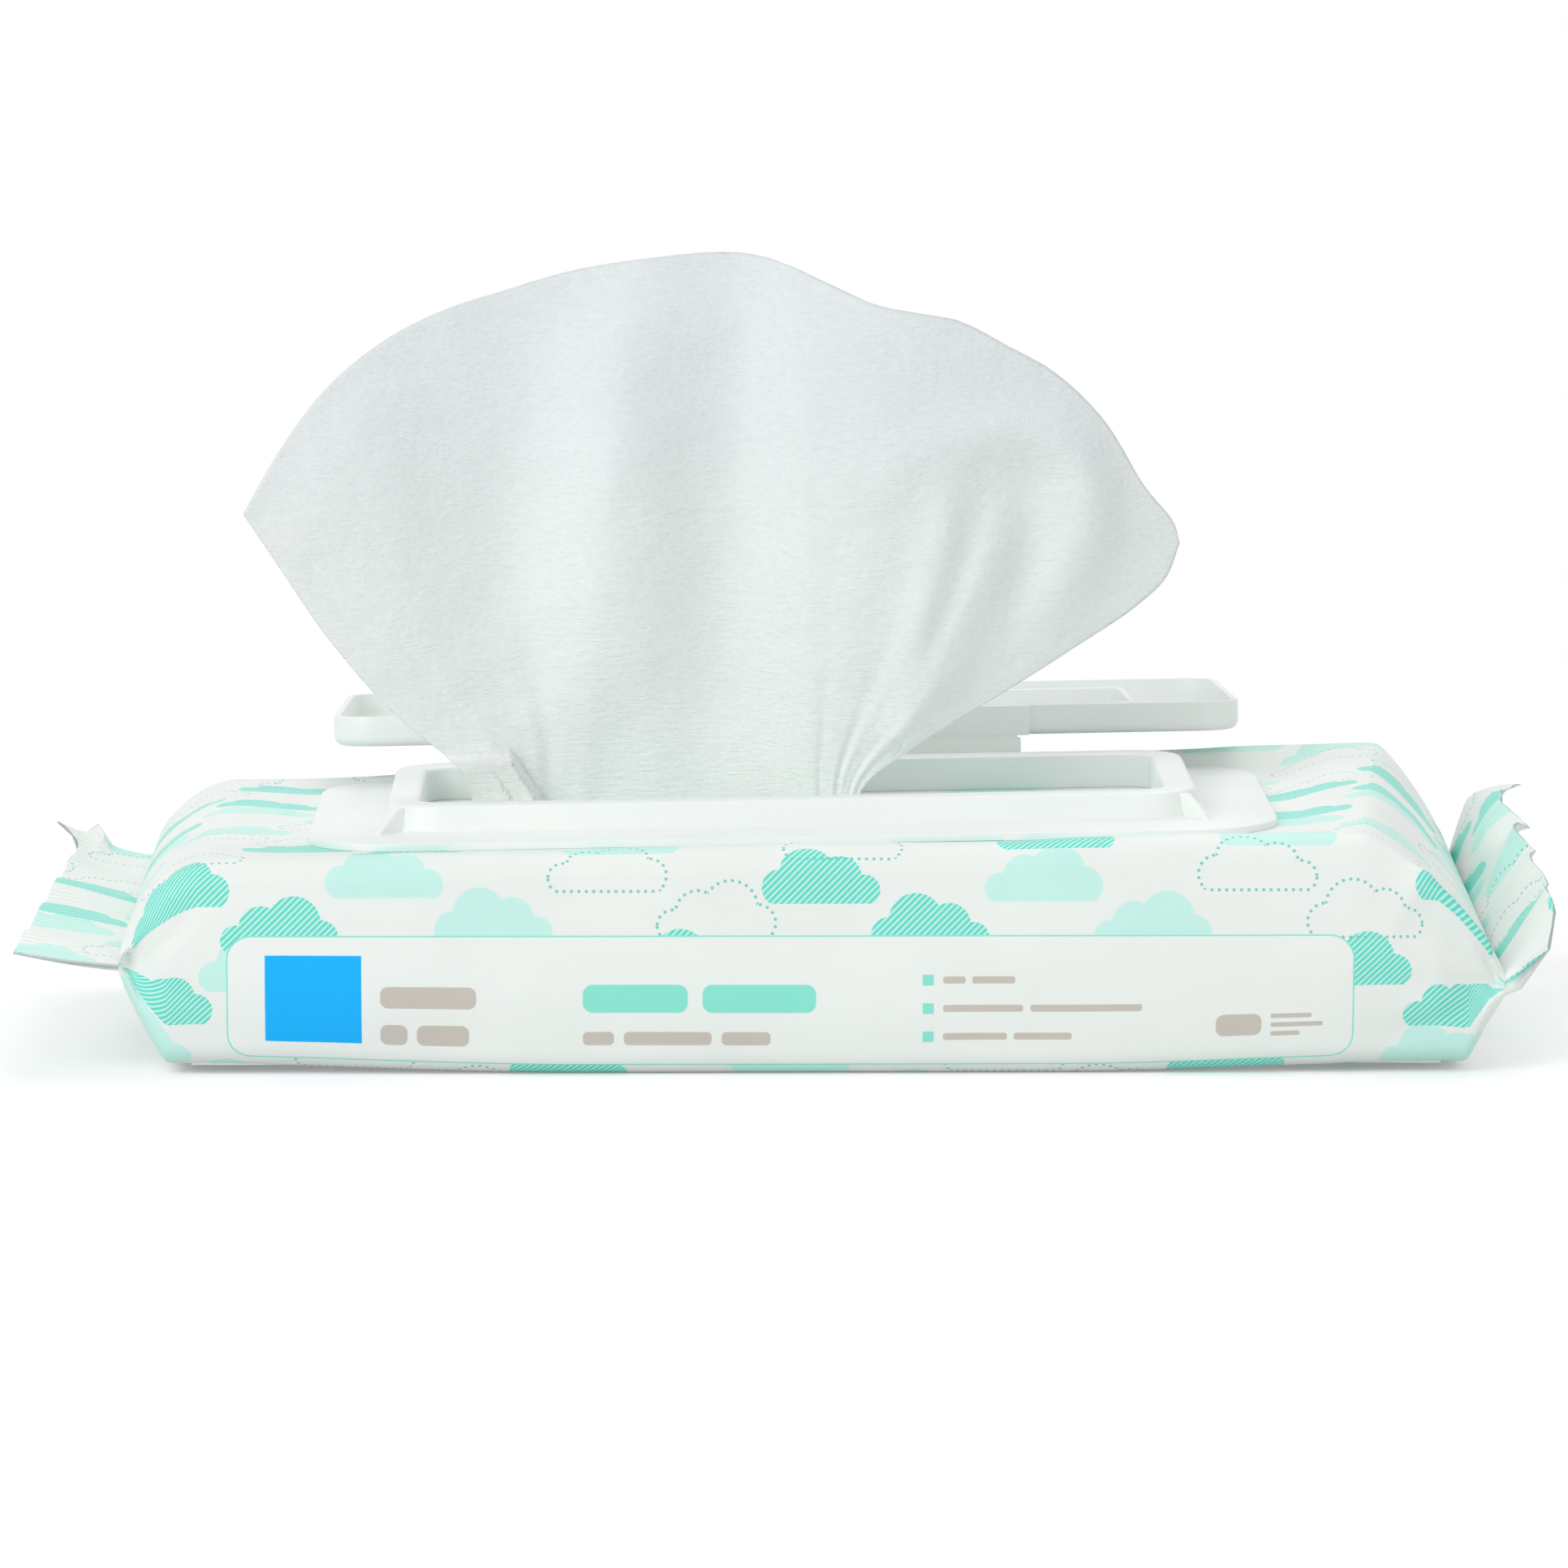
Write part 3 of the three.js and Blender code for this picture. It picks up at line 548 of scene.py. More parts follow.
def outward(points):
    """Unit normals of the film, whose sections are closed."""
    along = np.gradient(points, axis=0)
    across = (np.roll(points, -1, axis=1) - np.roll(points, 1, axis=1)) / 2
    normal = np.cross(along, across)
    normal /= np.maximum(np.linalg.norm(normal, axis=-1, keepdims=True), 1e-9)
    middle = middle_row(points)
    facing = (normal[middle, :, 2] * (points[middle, :, 2] - PACK_HEIGHT / 2)).sum()
    return -normal if facing < 0 else normal


def closing_faces(order):
    """Faces that close a fin's edge from front to back; order holds the y of each of its points."""
    count, front, back = len(order), int(np.argmin(order)), int(np.argmax(order))
    upper = [(front + step) % count for step in range((back - front) % count + 1)]
    lower = [(front - step) % count for step in range((front - back) % count + 1)]
    faces = []
    while len(upper) > 1 or len(lower) > 1:
        if len(lower) == 1 or (len(upper) > 1 and order[upper[1]] < order[lower[1]]):
            faces.append([upper[0], upper[1], lower[0]])
            upper.pop(0)
        else:
            faces.append([upper[0], lower[1], lower[0]])
            lower.pop(0)
    return [face for face in faces if len(set(face)) == 3]


def middle_row(points):
    return int(np.argmin(np.abs(points[:, :, 0].mean(axis=1))))


def print_places(points):
    """The print's own places on the film: along the pack, and round it from its lower front edge."""
    count_rows, count = points.shape[:2]
    steps = np.linalg.norm(np.diff(points, axis=0), axis=-1)
    along = np.concatenate([np.zeros((1, count)), np.cumsum(steps, axis=0)])
    along -= along[middle_row(points)]
    rings = np.concatenate([points, points[:, :1]], axis=1)
    around = np.cumsum(np.linalg.norm(np.diff(rings, axis=1), axis=-1), axis=1)
    around = np.concatenate([np.zeros((count_rows, 1)), around], axis=1)
    around -= around[:, HALF_BASE_STEPS][:, None]
    unclosed = np.flatnonzero(np.abs(points[:, 0, 0]) < BASE_LENGTH / 2 - 4)
    return along, around[np.clip(np.arange(count_rows), unclosed[0], unclosed[-1])]


def creased(points):
    """Adds unevenness and creases, but not under the dispenser or where the pack lies flat."""
    x, y, z = np.moveaxis(points, -1, 0)
    uneven = unevenness(points, FILM_UNEVEN)
    seat = (1 - smooth(np.abs(x - DISPENSER_X), SEAT_X - 1, SEAT_X + 8)) \
        * (1 - smooth(np.abs(y), SEAT_Y - 1, SEAT_Y + 5)) * (z > PACK_HEIGHT - 4)
    free = (1 - seat) * smooth(z, 0.2, 7)
    free = free * (1 - smooth(np.abs(x), root_x(1) - 5, root_x(1) - 0.6))
    toward_end = 1 + 0.8 * smooth(np.abs(x), 70, 98)
    points = points + outward(points) * ((uneven * toward_end + crease_depth(points)) * free)[..., None]
    x, y, z = np.moveaxis(points, -1, 0)
    lift = smooth(np.abs(x), 35, 98) * smooth(np.abs(y), 22, HALF_DEPTH) * (1 - smooth(z, 0, 24))
    points[..., 2] += END_LIFT * lift
    return points


def film_wrapper():
    rows = [fin_section(-1, share) for share in reversed(FIN_SHARES)]
    rows += [film_section(x) for x in film_stations()]
    rows += [fin_section(1, share) for share in FIN_SHARES]
    points = np.array(rows)
    count_rows, count = points.shape[:2]
    along, around = print_places(points)
    points = creased(points)

    # The opening under the window: faces inside it go, and its edge is drawn to its outline
    x, y, z = np.moveaxis(points, -1, 0)
    reach = (SLOT_LENGTH - SLOT_WIDTH) / 2
    core_x = DISPENSER_X + SLOT_X + np.clip(x - DISPENSER_X - SLOT_X, -reach, reach)
    away = np.hypot(x - core_x, y)
    inside = (away < SLOT_WIDTH / 2) & (z > PACK_HEIGHT - 6)
    corners = [face for face in grid_faces(count_rows, count, loop_columns=True)
               if not all(inside[r, c % count] for r, c in face)]
    pull = np.where(inside, SLOT_WIDTH / 2 / np.maximum(away, 0.01), 1)
    points[..., 0] = core_x + (x - core_x) * pull
    points[..., 1] = y * pull
    for side, row in ((-1, 0), (1, count_rows - 1)):
        order = film_section(side * root_x(side))[:, 1]
        corners += [[(row, c) for c in face] for face in closing_faces(order)]
    faces = numbered(corners, count_rows, count)
    uvs = [(along[r, c % count] / 100, around[r, c] / 100) for face in corners for r, c in face]

    used = sorted({i for face in faces for i in face})
    place = {old: new for new, old in enumerate(used)}
    faces = [[place[i] for i in face] for face in faces]
    flat = points.reshape(-1, 3)[used]
    piece = new_piece("film", flat, faces, "pack", uvs, crisp=50)
    # The wall is drawn in full only round the opening, where its edge is seen
    seated = [i for i, p in enumerate(flat) if abs(p[0]) < SEAT_X and abs(p[1]) < SEAT_Y]
    piece.vertex_groups.new(name="wall").add(seated, 1.0, "REPLACE")
    wall = piece.modifiers.new("wall", "SOLIDIFY")
    wall.thickness = FILM_THICKNESS * MM
    wall.offset = -1
    wall.vertex_group = "wall"
    wall.thickness_vertex_group = 0.05
    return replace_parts(piece, "film_wrapper")


def lap_seam():
    """Lengthwise seam of the film, folded flat against the underside just above the table."""
    rows = []
    for x in np.linspace(-BASE_LENGTH / 2 + 2, BASE_LENGTH / 2 - 2, 90):
        edge = 0.25 * rough(x, 0, 0, 14, 2.2)
        profile = [(-5, 0.30), (5.2 + edge, 0.30), (5.6 + edge, 0.18), (5.2 + edge, 0.04), (-5, 0.04)]
        rows.append(np.array([(x, y, z) for y, z in profile]))
    return loft("lap_seam", rows, "pack")


# Wipes inside the pack


def wipe_layer():
    """One folded wipe, as long as the stack, with rounded folds; z runs from 0 to 1."""
    half = HALF_DEPTH - SIDE_BULGE - STACK_SIDE_GAP
    profile = [(-half, 0.5), (-half + 0.15, 0.16), (-half + 0.8, 0.03), (0, 0.02)]
    profile += [(-y, z) for y, z in reversed(profile[:3])]
    profile += [(-y, 1 - z) for y, z in profile[1:-1]]
    rows = []
    for x in np.linspace(-BASE_LENGTH / 2 + STACK_END_GAP, BASE_LENGTH / 2 - STACK_END_GAP, 48):
        rows.append(np.array([(x, y + 0.35 * rough(x, y, 0, 18, 4.4), z / MM) for y, z in profile]))
    return loft("stacked_wipes", rows, "pack", crisp=60)


def stacking_tree(material):
    """Stacks a layer, slips each one a little, and leans and droops the stack with the film."""
    tree = bpy.data.node_groups.new("stacked_layers", "GeometryNodeTree")
    nodes = Nodes(tree)
    sockets = {"Layer": "Geometry", "Layers": "Int", "Low": "Float", "High": "Float",
               "Lean": "Float", "Droop": "Float", "Slip": "Vector", "Seed": "Int"}
    for name, kind in sockets.items():
        tree.interface.new_socket(name, in_out="INPUT", socket_type=f"NodeSocket{kind}")
    tree.interface.new_socket("Geometry", in_out="OUTPUT", socket_type="NodeSocketGeometry")
    source = tree.nodes.new("NodeGroupInput").outputs
    given = {name: Value(nodes, source[name]) for name in sockets}

    levels = nodes.node("GeometryNodeMeshLine", inputs={"Count": given["Layers"], "Offset": (0, 0, 1)})
    back = given["Slip"].vector("MULTIPLY", (-1.0, -1.0, -1.0))
    slip = nodes.node("FunctionNodeRandomValue", {"data_type": "FLOAT_VECTOR"},
                      {0: back, 1: given["Slip"], "Seed": given["Seed"]})
    slipped = nodes.node("GeometryNodeSetPosition", inputs={"Geometry": levels, "Offset": slip})
    layers = nodes.node("GeometryNodeInstanceOnPoints",
                        inputs={"Points": slipped, "Instance": given["Layer"]})
    solid = nodes.node("GeometryNodeRealizeInstances", inputs={"Geometry": layers})
    x, y, level = nodes.split(nodes.node("GeometryNodeInputPosition"))
    droop = given["Droop"] * (x.ramp(0.086, 0.095) * y.ramp(0.008, -0.048))
    high = given["High"] + x * given["Lean"] - droop
    z = given["Low"] + level / given["Layers"] * (high - given["Low"])
    moved = nodes.node("ShaderNodeCombineXYZ", inputs={0: x, 1: y, 2: z})
    leaned = nodes.node("GeometryNodeSetPosition", inputs={"Geometry": solid, "Position": moved})
    finished = nodes.node("GeometryNodeSetMaterial", inputs={"Geometry": leaned, "Material": material})
    nodes.show(finished, "NodeGroupOutput")
    return tree


def stacked_wipes(material):
    piece = wipe_layer()
    stacking = piece.modifiers.new("stacking", "NODES")
    stacking.node_group = stacking_tree(material)
    room_left = PACK_HEIGHT - FILM_THICKNESS - STACK_TOP_GAP
    values = {"Layers": STACKED_WIPES, "Low": STACK_FOOT * MM, "High": room_left * MM,
              "Lean": math.tan(TOP_ROLL), "Droop": 8 * MM, "Slip": (0.25 * MM, 0.45 * MM, 0.0), "Seed": 5}
    for socket in stacking.node_group.interface.items_tree:
        if socket.name in values:
            stacking[socket.identifier] = values[socket.name]
    apply_modifiers(piece)
    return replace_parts(piece, "wipe_stack")


# Pulled wipe. Places are in millimetres from the middle of the dispenser, z from the film.

HEM = [(-84.5, -18, 48.5), (-78.9, -15.6, 58.2), (-72, -12.8, 67.3), (-63.9, -9.8, 74), (-54.6, -6.9, 78.8),
       (-44.6, -3.8, 81.9), (-34.6, -1, 84.7), (-23.2, 1.5, 86.6), (-12, 2.5, 87.6), (-5.6, 2, 87.2),
       (-0.6, 0.5, 85.8), (6.3, -1, 82.7), (13.2, -2, 79.7), (19.6, -2.4, 78.4), (26, -2, 77.1),
       (33.5, -0.8, 73.2), (41.2, 1, 68.7), (48.9, 3.4, 61.1), (55.4, 5.6, 50.6), (60.1, 7.4, 44.7),
       (61.1, 8, 41.4)]
LEFT_EDGE = [(-49.5, -5, 0), (-49.8, -5.3, 4.4), (-51.2, -6, 7.8), (-56.9, -8, 12.8), (-62.5, -10.2, 17.9),
             (-72.2, -14, 29.8), (-78.3, -16.5, 39.1), (-84.5, -18, 48.5)]
RIGHT_EDGE = [(9.5, -5, 0), (11.4, -3.8, 4.9), (19.7, -1.8, 11.1), (33.8, 1.4, 19), (44, 3.8, 25.1),
              (54.1, 6.4, 31.4), (59, 7.6, 36), (61.1, 8, 41.4)]
# Where each share of the wipe's length goes through the slot
GATHER = ([0, 0.145, 0.296, 0.405, 0.49, 0.575, 0.7, 0.85, 1],
          [-49.5, -44.5, -38, -31.5, -14, 3.5, 6, 8, 9.5])

# Folds towards the front: places (x, z, height), then width to the left and to the right
FOLDS = [
    ([(-72, 72, 0.4), (-68.5, 62, 1.6), (-62.5, 43, 3.0), (-60.0, 30, 4.2), (-49.0, 12, 3.8)], 16, 12),
    ([(-21, 86, 3.4), (-25.8, 70, 6.6), (-27.6, 50, 8.4), (-28.4, 38, 7.4), (-29.0, 28, 5.8),
      (-29.8, 16, 3.6), (-30.5, 4, 2.0)], 9.5, 14),
    ([(1.0, 84, 3.0), (1.8, 70, 4.8), (2.8, 50, 5.4), (3.2, 30, 4.8), (4.8, 3, 2.2)], 6.5, 24),
    ([(24.5, 56, 0), (24.6, 50, 1.0), (22.6, 39, 2.2), (20.4, 31, 2.4), (18.6, 22, 1.9), (15.6, 12, 1.6),
      (11.5, 4, 0.8)], 3.8, 3.4),
    ([(34, 50, 0), (32, 44, 1.0), (29.8, 38, 1.8), (26.4, 30, 2.1), (22.8, 21.5, 2.2), (18.5, 13.5, 1.4)],
     2.8, 5.0),
    ([(37, 57, -0.2), (37, 48, -0.8), (36.6, 40, -0.9), (34, 31, -0.3)], 3.4, 3.6),
    ([(12, 52.5, 0), (20, 56.5, 1.0), (27.4, 59.2, 1.9), (33.4, 60.0, 2.3), (40, 59.2, 2.6), (45, 56, 2.9),
      (47, 50, 2.9), (46.4, 43, 2.3), (43, 35, 1.3), (37, 26, 0.4)], 4.6, 4.6),
    ([(38.5, 53, 0.6), (43, 47, 1.0), (42.4, 39, 0.8), (38, 30, 0.4)], 7, 5),
    ([(-12, 60, 0), (-12, 40, -0.6), (-13, 20, -1.0), (-14, 6, -0.4)], 7, 7),
]


def follow(places, count):
    """Points evenly spaced along a smooth line through the given places."""
    places = np.array(places, float)
    gaps = np.linalg.norm(np.diff(places, axis=0), axis=1) ** 0.5
    knots = np.concatenate([[0], np.cumsum(gaps)])
    slopes = np.gradient(places, knots, axis=0)
    fine = np.linspace(0, knots[-1], 1500)
    part = np.clip(np.searchsorted(knots, fine, side="right") - 1, 0, len(knots) - 2)
    width = (knots[part + 1] - knots[part])[:, None]
    t = ((fine - knots[part])[:, None]) / width
    line = ((2 * t**3 - 3 * t**2 + 1) * places[part] + (t**3 - 2 * t**2 + t) * width * slopes[part]
            + (-2 * t**3 + 3 * t**2) * places[part + 1] + (t**3 - t**2) * width * slopes[part + 1])
    length = np.concatenate([[0], np.cumsum(np.linalg.norm(np.diff(line, axis=0), axis=1))])
    wanted = np.linspace(0, length[-1], count)
    return np.stack([np.interp(wanted, length, line[:, axis]) for axis in range(places.shape[1])], axis=1)


def fold_height(x, z):
    """How far the folds carry the cloth towards the front at (x, z)."""
    total = np.zeros(x.shape)
    for places, left, right in FOLDS:
        line = follow(places, 60)
        best = np.full(x.shape, 1e9)
        height = np.zeros(x.shape)
        across = np.zeros(x.shape)
        for (x0, z0, h0), (x1, z1, h1) in zip(line[:-1], line[1:]):
            run_x, run_z = x1 - x0, z1 - z0
            share = np.clip(((x - x0) * run_x + (z - z0) * run_z) / (run_x**2 + run_z**2), 0, 1)
            away_x, away_z = x - x0 - share * run_x, z - z0 - share * run_z
            away = np.hypot(away_x, away_z)
            nearer = away < best
            best = np.where(nearer, away, best)
            height = np.where(nearer, mix(h0, h1, share), height)
            across = np.where(nearer, run_x * away_z - run_z * away_x, across)
        width = np.where(across > 0, right, left)
        total += height * np.exp(-(best / width) ** 2)
    return total


def between_edges(hem, left, right, u, v):
    """Sheet that fills the frame of the slot's exit line, the hem and the two side edges."""
    dense = np.linspace(0, 1, 801)
    kernel = np.hanning(61)
    reach = len(kernel) // 2
    gather = np.pad(np.interp(dense, *GATHER), reach, mode="reflect", reflect_type="odd")
    eased = np.convolve(gather, kernel / kernel.sum(), "valid")
    columns = u.shape[1]
    exit_line = np.stack(
        [np.interp(u[0], dense, eased), np.full(columns, EXIT_Y), np.zeros(columns)], axis=1)
    u, v = u[..., None], v[..., None]
    sheet = exit_line[None] * (1 - v) + hem[None] * v + left[:, None] * (1 - u) + right[:, None] * u
    sheet -= (exit_line[0] * (1 - u) + exit_line[-1] * u) * (1 - v) + (hem[0] * (1 - u) + hem[-1] * u) * v
    return sheet


def wipe_tail(first, u, rows):
    """The tail goes down through the slot, back over the stack, and folds forward under itself."""
    tail = []
    fanned = mix(-TAIL_HALF, TAIL_HALF, u) - DISPENSER_X
    for row in range(1, rows + 1):
        share = row / rows
        back = smooth(share, 0.05, 0.55) * TAIL_BACK - smooth(share, 0.55, 1) * TAIL_FORWARD
        level = -1.6 * smooth(share, 0, 0.1) - 1.2 * smooth(share, 0.5, 0.62)
        spread = smooth(share, 0.02, 0.5)
        line = first.copy()
        line[:, 0] = mix(first[:, 0], fanned, spread)
        line[:, 1] = mix(first[:, 1], -2, min(share * 6, 1)) + back
        line[:, 2] = level + line[:, 0] * math.tan(TOP_ROLL) * spread
        line[:, 2] += 0.3 * np.sin(2 * math.pi * 13 * u) * (1 - spread)
        tail.append(line)
    return np.array(tail)[::-1]


def wipe_cloth():
    columns, visible_rows, tail_rows = 230, 112, 30
    u = np.linspace(0, 1, columns)[None, :]
    v = np.linspace(0, 1, visible_rows)[:, None]
    left, right = follow(LEFT_EDGE, visible_rows), follow(RIGHT_EDGE, visible_rows)
    points = between_edges(follow(HEM, columns), left, right, u, v)

    x, z = points[..., 0], points[..., 2]
    height = fold_height(x, z) * mix(0.75, 1, smooth(v, 0, 0.22)) * mix(0.75, 1, smooth(1 - v, 0, 0.12))
    # Corner turned over in front at the left end of the slot
    over = np.minimum(10.4 + 0.02 * (x + 50) - z, (-38.6 - x) * 0.84 - (z - 2.9) * 0.54)
    turned_over = smooth(over, 0, 0.8) * smooth(z, 0, 2)
    height += (3.0 + 0.24 * (x + 50)) * turned_over
    crumple = 0.22 * np.sin(2 * math.pi * 9 * u + 3 * v) + 0.12 * np.sin(2 * math.pi * 15.3 * u + 2)
    crumple *= (1 - v) ** 3 * (1 - 0.8 * turned_over)
    soft = unevenness(points * (1, 0, 1), CLOTH_UNEVEN)
    points[..., 1] -= height + crumple + soft * smooth(v, 0, 0.15)
    points = np.concatenate([wipe_tail(points[0], u[0], tail_rows), points])
    points[..., 0] += DISPENSER_X
    points[..., 2] += PACK_HEIGHT

    rows = len(points)
    corners = grid_faces(rows, columns)
    faces = numbered(corners, rows, columns)
    # Places on the flat wipe, in units of 100 mm as on the film
    uvs = [(c / (columns - 1) * 2.0, r / (rows - 1) * 1.5) for face in corners for r, c in face]
    piece = new_piece("pulled_wipe_cloth", points.reshape(-1, 3), faces, "pack", uvs)
    thick = piece.modifiers.new("thickness", "SOLIDIFY")
    thick.thickness = WIPE_THICKNESS * MM
    thick.offset = 0
    apply_modifiers(piece)
    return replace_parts(piece, "pulled_wipe")


# Dispenser


# Profile of the frame, over the flange and the ring and down the window: how far inside each
# outline and how high
FRAME_PROFILE = [
    (FLANGE, [(0.0, GLUE_LINE), (0.0, 0.85), (0.1, 1.06), (0.35, FLANGE_TOP)]),
    (RING, [(-1.1, FLANGE_TOP), (-0.5, 1.27), (-0.15, 1.5), (0.0, 1.95), (0.56, 4.6), (0.66, 4.95),
            (0.88, 5.22), (1.25, 5.38), (1.7, RING_TOP)]),
    (WINDOW, [(-1.2, RING_TOP), (-0.75, 5.37), (-0.3, 5.2), (-0.06, 4.9), (0.0, 4.5), (0.0, 0.55),
              (-0.15, GLUE_LINE)]),
]


def frame_moulding():
    """Flange, ring and window wall in one moulding, as a profile carried round the window."""
    outlines = [in_dispenser(inset_outline(size, inset, z))
                for size, profile in FRAME_PROFILE for inset, z in profile]
    piece = loft("frame_moulding", outlines, "pack", closed=True)
    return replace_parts(piece, "dispenser_frame")


def bevelled_box(name, low, high, radius, place, body):
    low, high = np.array(low, float), np.array(high, float)
    build = bmesh.new()
    bmesh.ops.create_cube(build, size=1.0)
    for vertex in build.verts:
        vertex.co = Vector((low + high) / 2 + np.array(vertex.co) * (high - low))
    bmesh.ops.bevel(build, geom=list(build.edges), offset=radius, segments=3, profile=0.5, affect="EDGES")
    points = place(np.array([vertex.co for vertex in build.verts]))
    build.verts.index_update()
    faces = [[vertex.index for vertex in face.verts] for face in build.faces]
    build.free()
    return new_piece(name, points, faces, body, crisp=40)


def hinge_tab():
    """Upright strip behind the ring that carries the hinge."""
    half = HINGE_WIDTH / 2 - 1.5
    return bevelled_box("hinge_tab", (-half, HINGE_Y + HINGE_GAP / 2, 1.0),
                        (half, HINGE_Y + 1.55, HINGE_Z - HINGE_GAP), 0.2, in_dispenser, "pack")


def corner_rib(side):
    """Small three-sided brace at a front corner of the ring."""
    reach = RING["radius"] * (1 - math.sqrt(0.5))
    angle = -math.pi / 4 if side > 0 else -3 * math.pi / 4
    profile = [(-1.3, -0.1), (5.0, -0.1), (4.8, 0.25), (0.9, 3.5), (0.4, 3.7), (-1.3, 3.7)]
    rows = []
    for offset, shrink in [(-0.5, 0.12), (-0.4, 0.0), (0.4, 0.0), (0.5, 0.12)]:
        row = []
        for out, up in profile:
            x, y = turned(out - shrink * (out > 0), offset, angle)
            row.append((side * (RING["width"] / 2 - reach) + x, reach - RING["depth"] / 2 + y,
                        FLANGE_TOP + up - shrink * (up > 0)))
        rows.append(in_dispenser(row))
    return loft(f"corner_rib_{'right' if side > 0 else 'left'}", rows, "pack")


def lid_shell():
    """Lid as one shell: round the top edge, down the skirt, round the rim and up inside."""
    top, rim = LID["top"], LID["rim"]
    profile = [(7.2, top - 0.25), (6.9, top - 0.22), (6.5, top - 0.05), (6.2, top)]
    for step in range(7):
        angle = math.radians(90 - 15 * step)
        profile.append((LID_EDGE_ROUND - LID_EDGE_ROUND * math.cos(angle),
                        top - LID_EDGE_ROUND + LID_EDGE_ROUND * math.sin(angle)))
    profile += [(0.0, rim + 0.2), (0.06, rim + 0.06), (0.22, rim), (0.9, rim), (1.04, rim + 0.06),
                (WALL, rim + 0.2), (WALL, top - 1.7), (WALL + 0.2, top - 1.25), (WALL + 0.55, top - 0.98),
                (WALL + 1.0, CEILING)]
    centre_y = LID["back"] - LID["depth"] / 2
    outlines = [opened(inset_outline(LID, inset, z, centre_y)) for inset, z in profile]
    piece = loft("lid_shell", outlines, "lid")
    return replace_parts(piece, "lid")


def plug_rib():
    """Rib inside the lid that drops into the window."""
    low = CEILING - PLUG_HEIGHT
    profile = [(0.5, CEILING + 0.2), (0.5, low + 0.6), (0.62, low + 0.2), (0.85, low), (1.3, low),
               (1.5, low + 0.15), (1.6, low + 0.5), (1.6, CEILING - 0.4), (1.8, CEILING - 0.1),
               (2.2, CEILING + 0.05), (2.2, CEILING + 0.2)]
    outlines = [opened(inset_outline(WINDOW, inset, z)) for inset, z in profile]
    return loft("plug_rib", outlines, "lid", closed=True)


def lid_boss():
    return bevelled_box("lid_boss", (-HINGE_WIDTH / 2, LID["back"] - 0.4, LID["rim"]),
                        (HINGE_WIDTH / 2, HINGE_Y - HINGE_GAP / 2, LID["top"]), 0.25, opened, "lid")


def thumb_tab():
    """Rounded tab that stands out from the skirt and ends inside its wall."""
    front = LID["back"] - LID["depth"]
    outlines = []
    for inset, up in [(0.25, 0.08), (0.0, 0.28), (0.0, 0.95), (0.2, 1.15), (0.5, 1.2)]:
        outline = inset_outline(THUMB_TAB, inset, LID["rim"] + up, front + WALL)
        outline[:, 1] = np.minimum(outline[:, 1], front + 0.5)
        outlines.append(opened(outline))
    return loft("thumb_tab", outlines, "lid")


def hinge_web():
    """Thin web between the frame's tab and the lid."""
    rows = []
    heights = np.linspace(-0.4, 0.4, 7)
    for x in np.linspace(-HINGE_WIDTH / 2 + 2, HINGE_WIDTH / 2 - 2, 24):
        outline = [(x, HINGE_Y + 0.3, HINGE_Z + z) for z in heights]
        outline += [(x, HINGE_Y + 0.5, HINGE_Z + z) for z in reversed(heights)]
        rows.append(in_dispenser(outline))
    piece = loft("hinge_web", rows, None)
    start = in_dispenser((0, HINGE_Y + 0.4, HINGE_Z - 0.25)) * MM
    stop = in_dispenser((0, HINGE_Y + 0.4, HINGE_Z + 0.25)) * MM
    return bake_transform(piece)


# Materials


def colour(red, green, blue):
    """Colour as seen on a screen, 0 to 255, turned into the shader's own scale."""
    def linear(part):
        share = part / 255
        return share / 12.92 if share <= 0.04045 else ((share + 0.055) / 1.055) ** 2.4
    return (linear(red), linear(green), linear(blue), 1.0)


FILM_WHITE = colour(237, 242, 238)
PANEL_WHITE = colour(239, 244, 240)
PALE_MINT = colour(200, 243, 234)
STRIPE_GAP = colour(190, 243, 234)
TEAL = colour(100, 219, 200)
DOT_TEAL = colour(128, 205, 193)
TITLE_MINT = colour(140, 232, 214)
GREIGE = colour(203, 196, 186)
TILE_BLUE = colour(0, 180, 255)

# Clouds printed on the film: circles (x, y, radius) on a flat bottom
CLOUD_CIRCLES = [(-6.2, -1.2, 2.4), (-2.5, 0.8, 3.3), (2.5, 1.5, 4.1), (6.5, -0.8, 2.8)]
CLOUD_BOTTOM = -3.2
CLOUD_PITCH = 33
CLOUD_ROW = 14.4
ROW_SHIFT = 0.42 * CLOUD_PITCH
CLOUD_LAYERS = [(4.0, 9.6), (20.5, 2.4)]
DOT_RADIUS = 0.25
STRIPE_HALF = 0.2
STRIPE_PITCH = 0.72
DOT_PITCH = 1.12
CRIMP_PITCH = 1.3

# Front panel, in millimetres along the pack and round the film
PANEL = ((-88.8, 3.8), (81.5, 23.9), 3.7)
TILE = ((-83.1, 6.6), (-68.5, 20.9), 0.1)
BULLETS = [((16.3, foot), (18.0, foot + 1.7), 0.1) for foot in (16.3, 11.9, 7.5)]
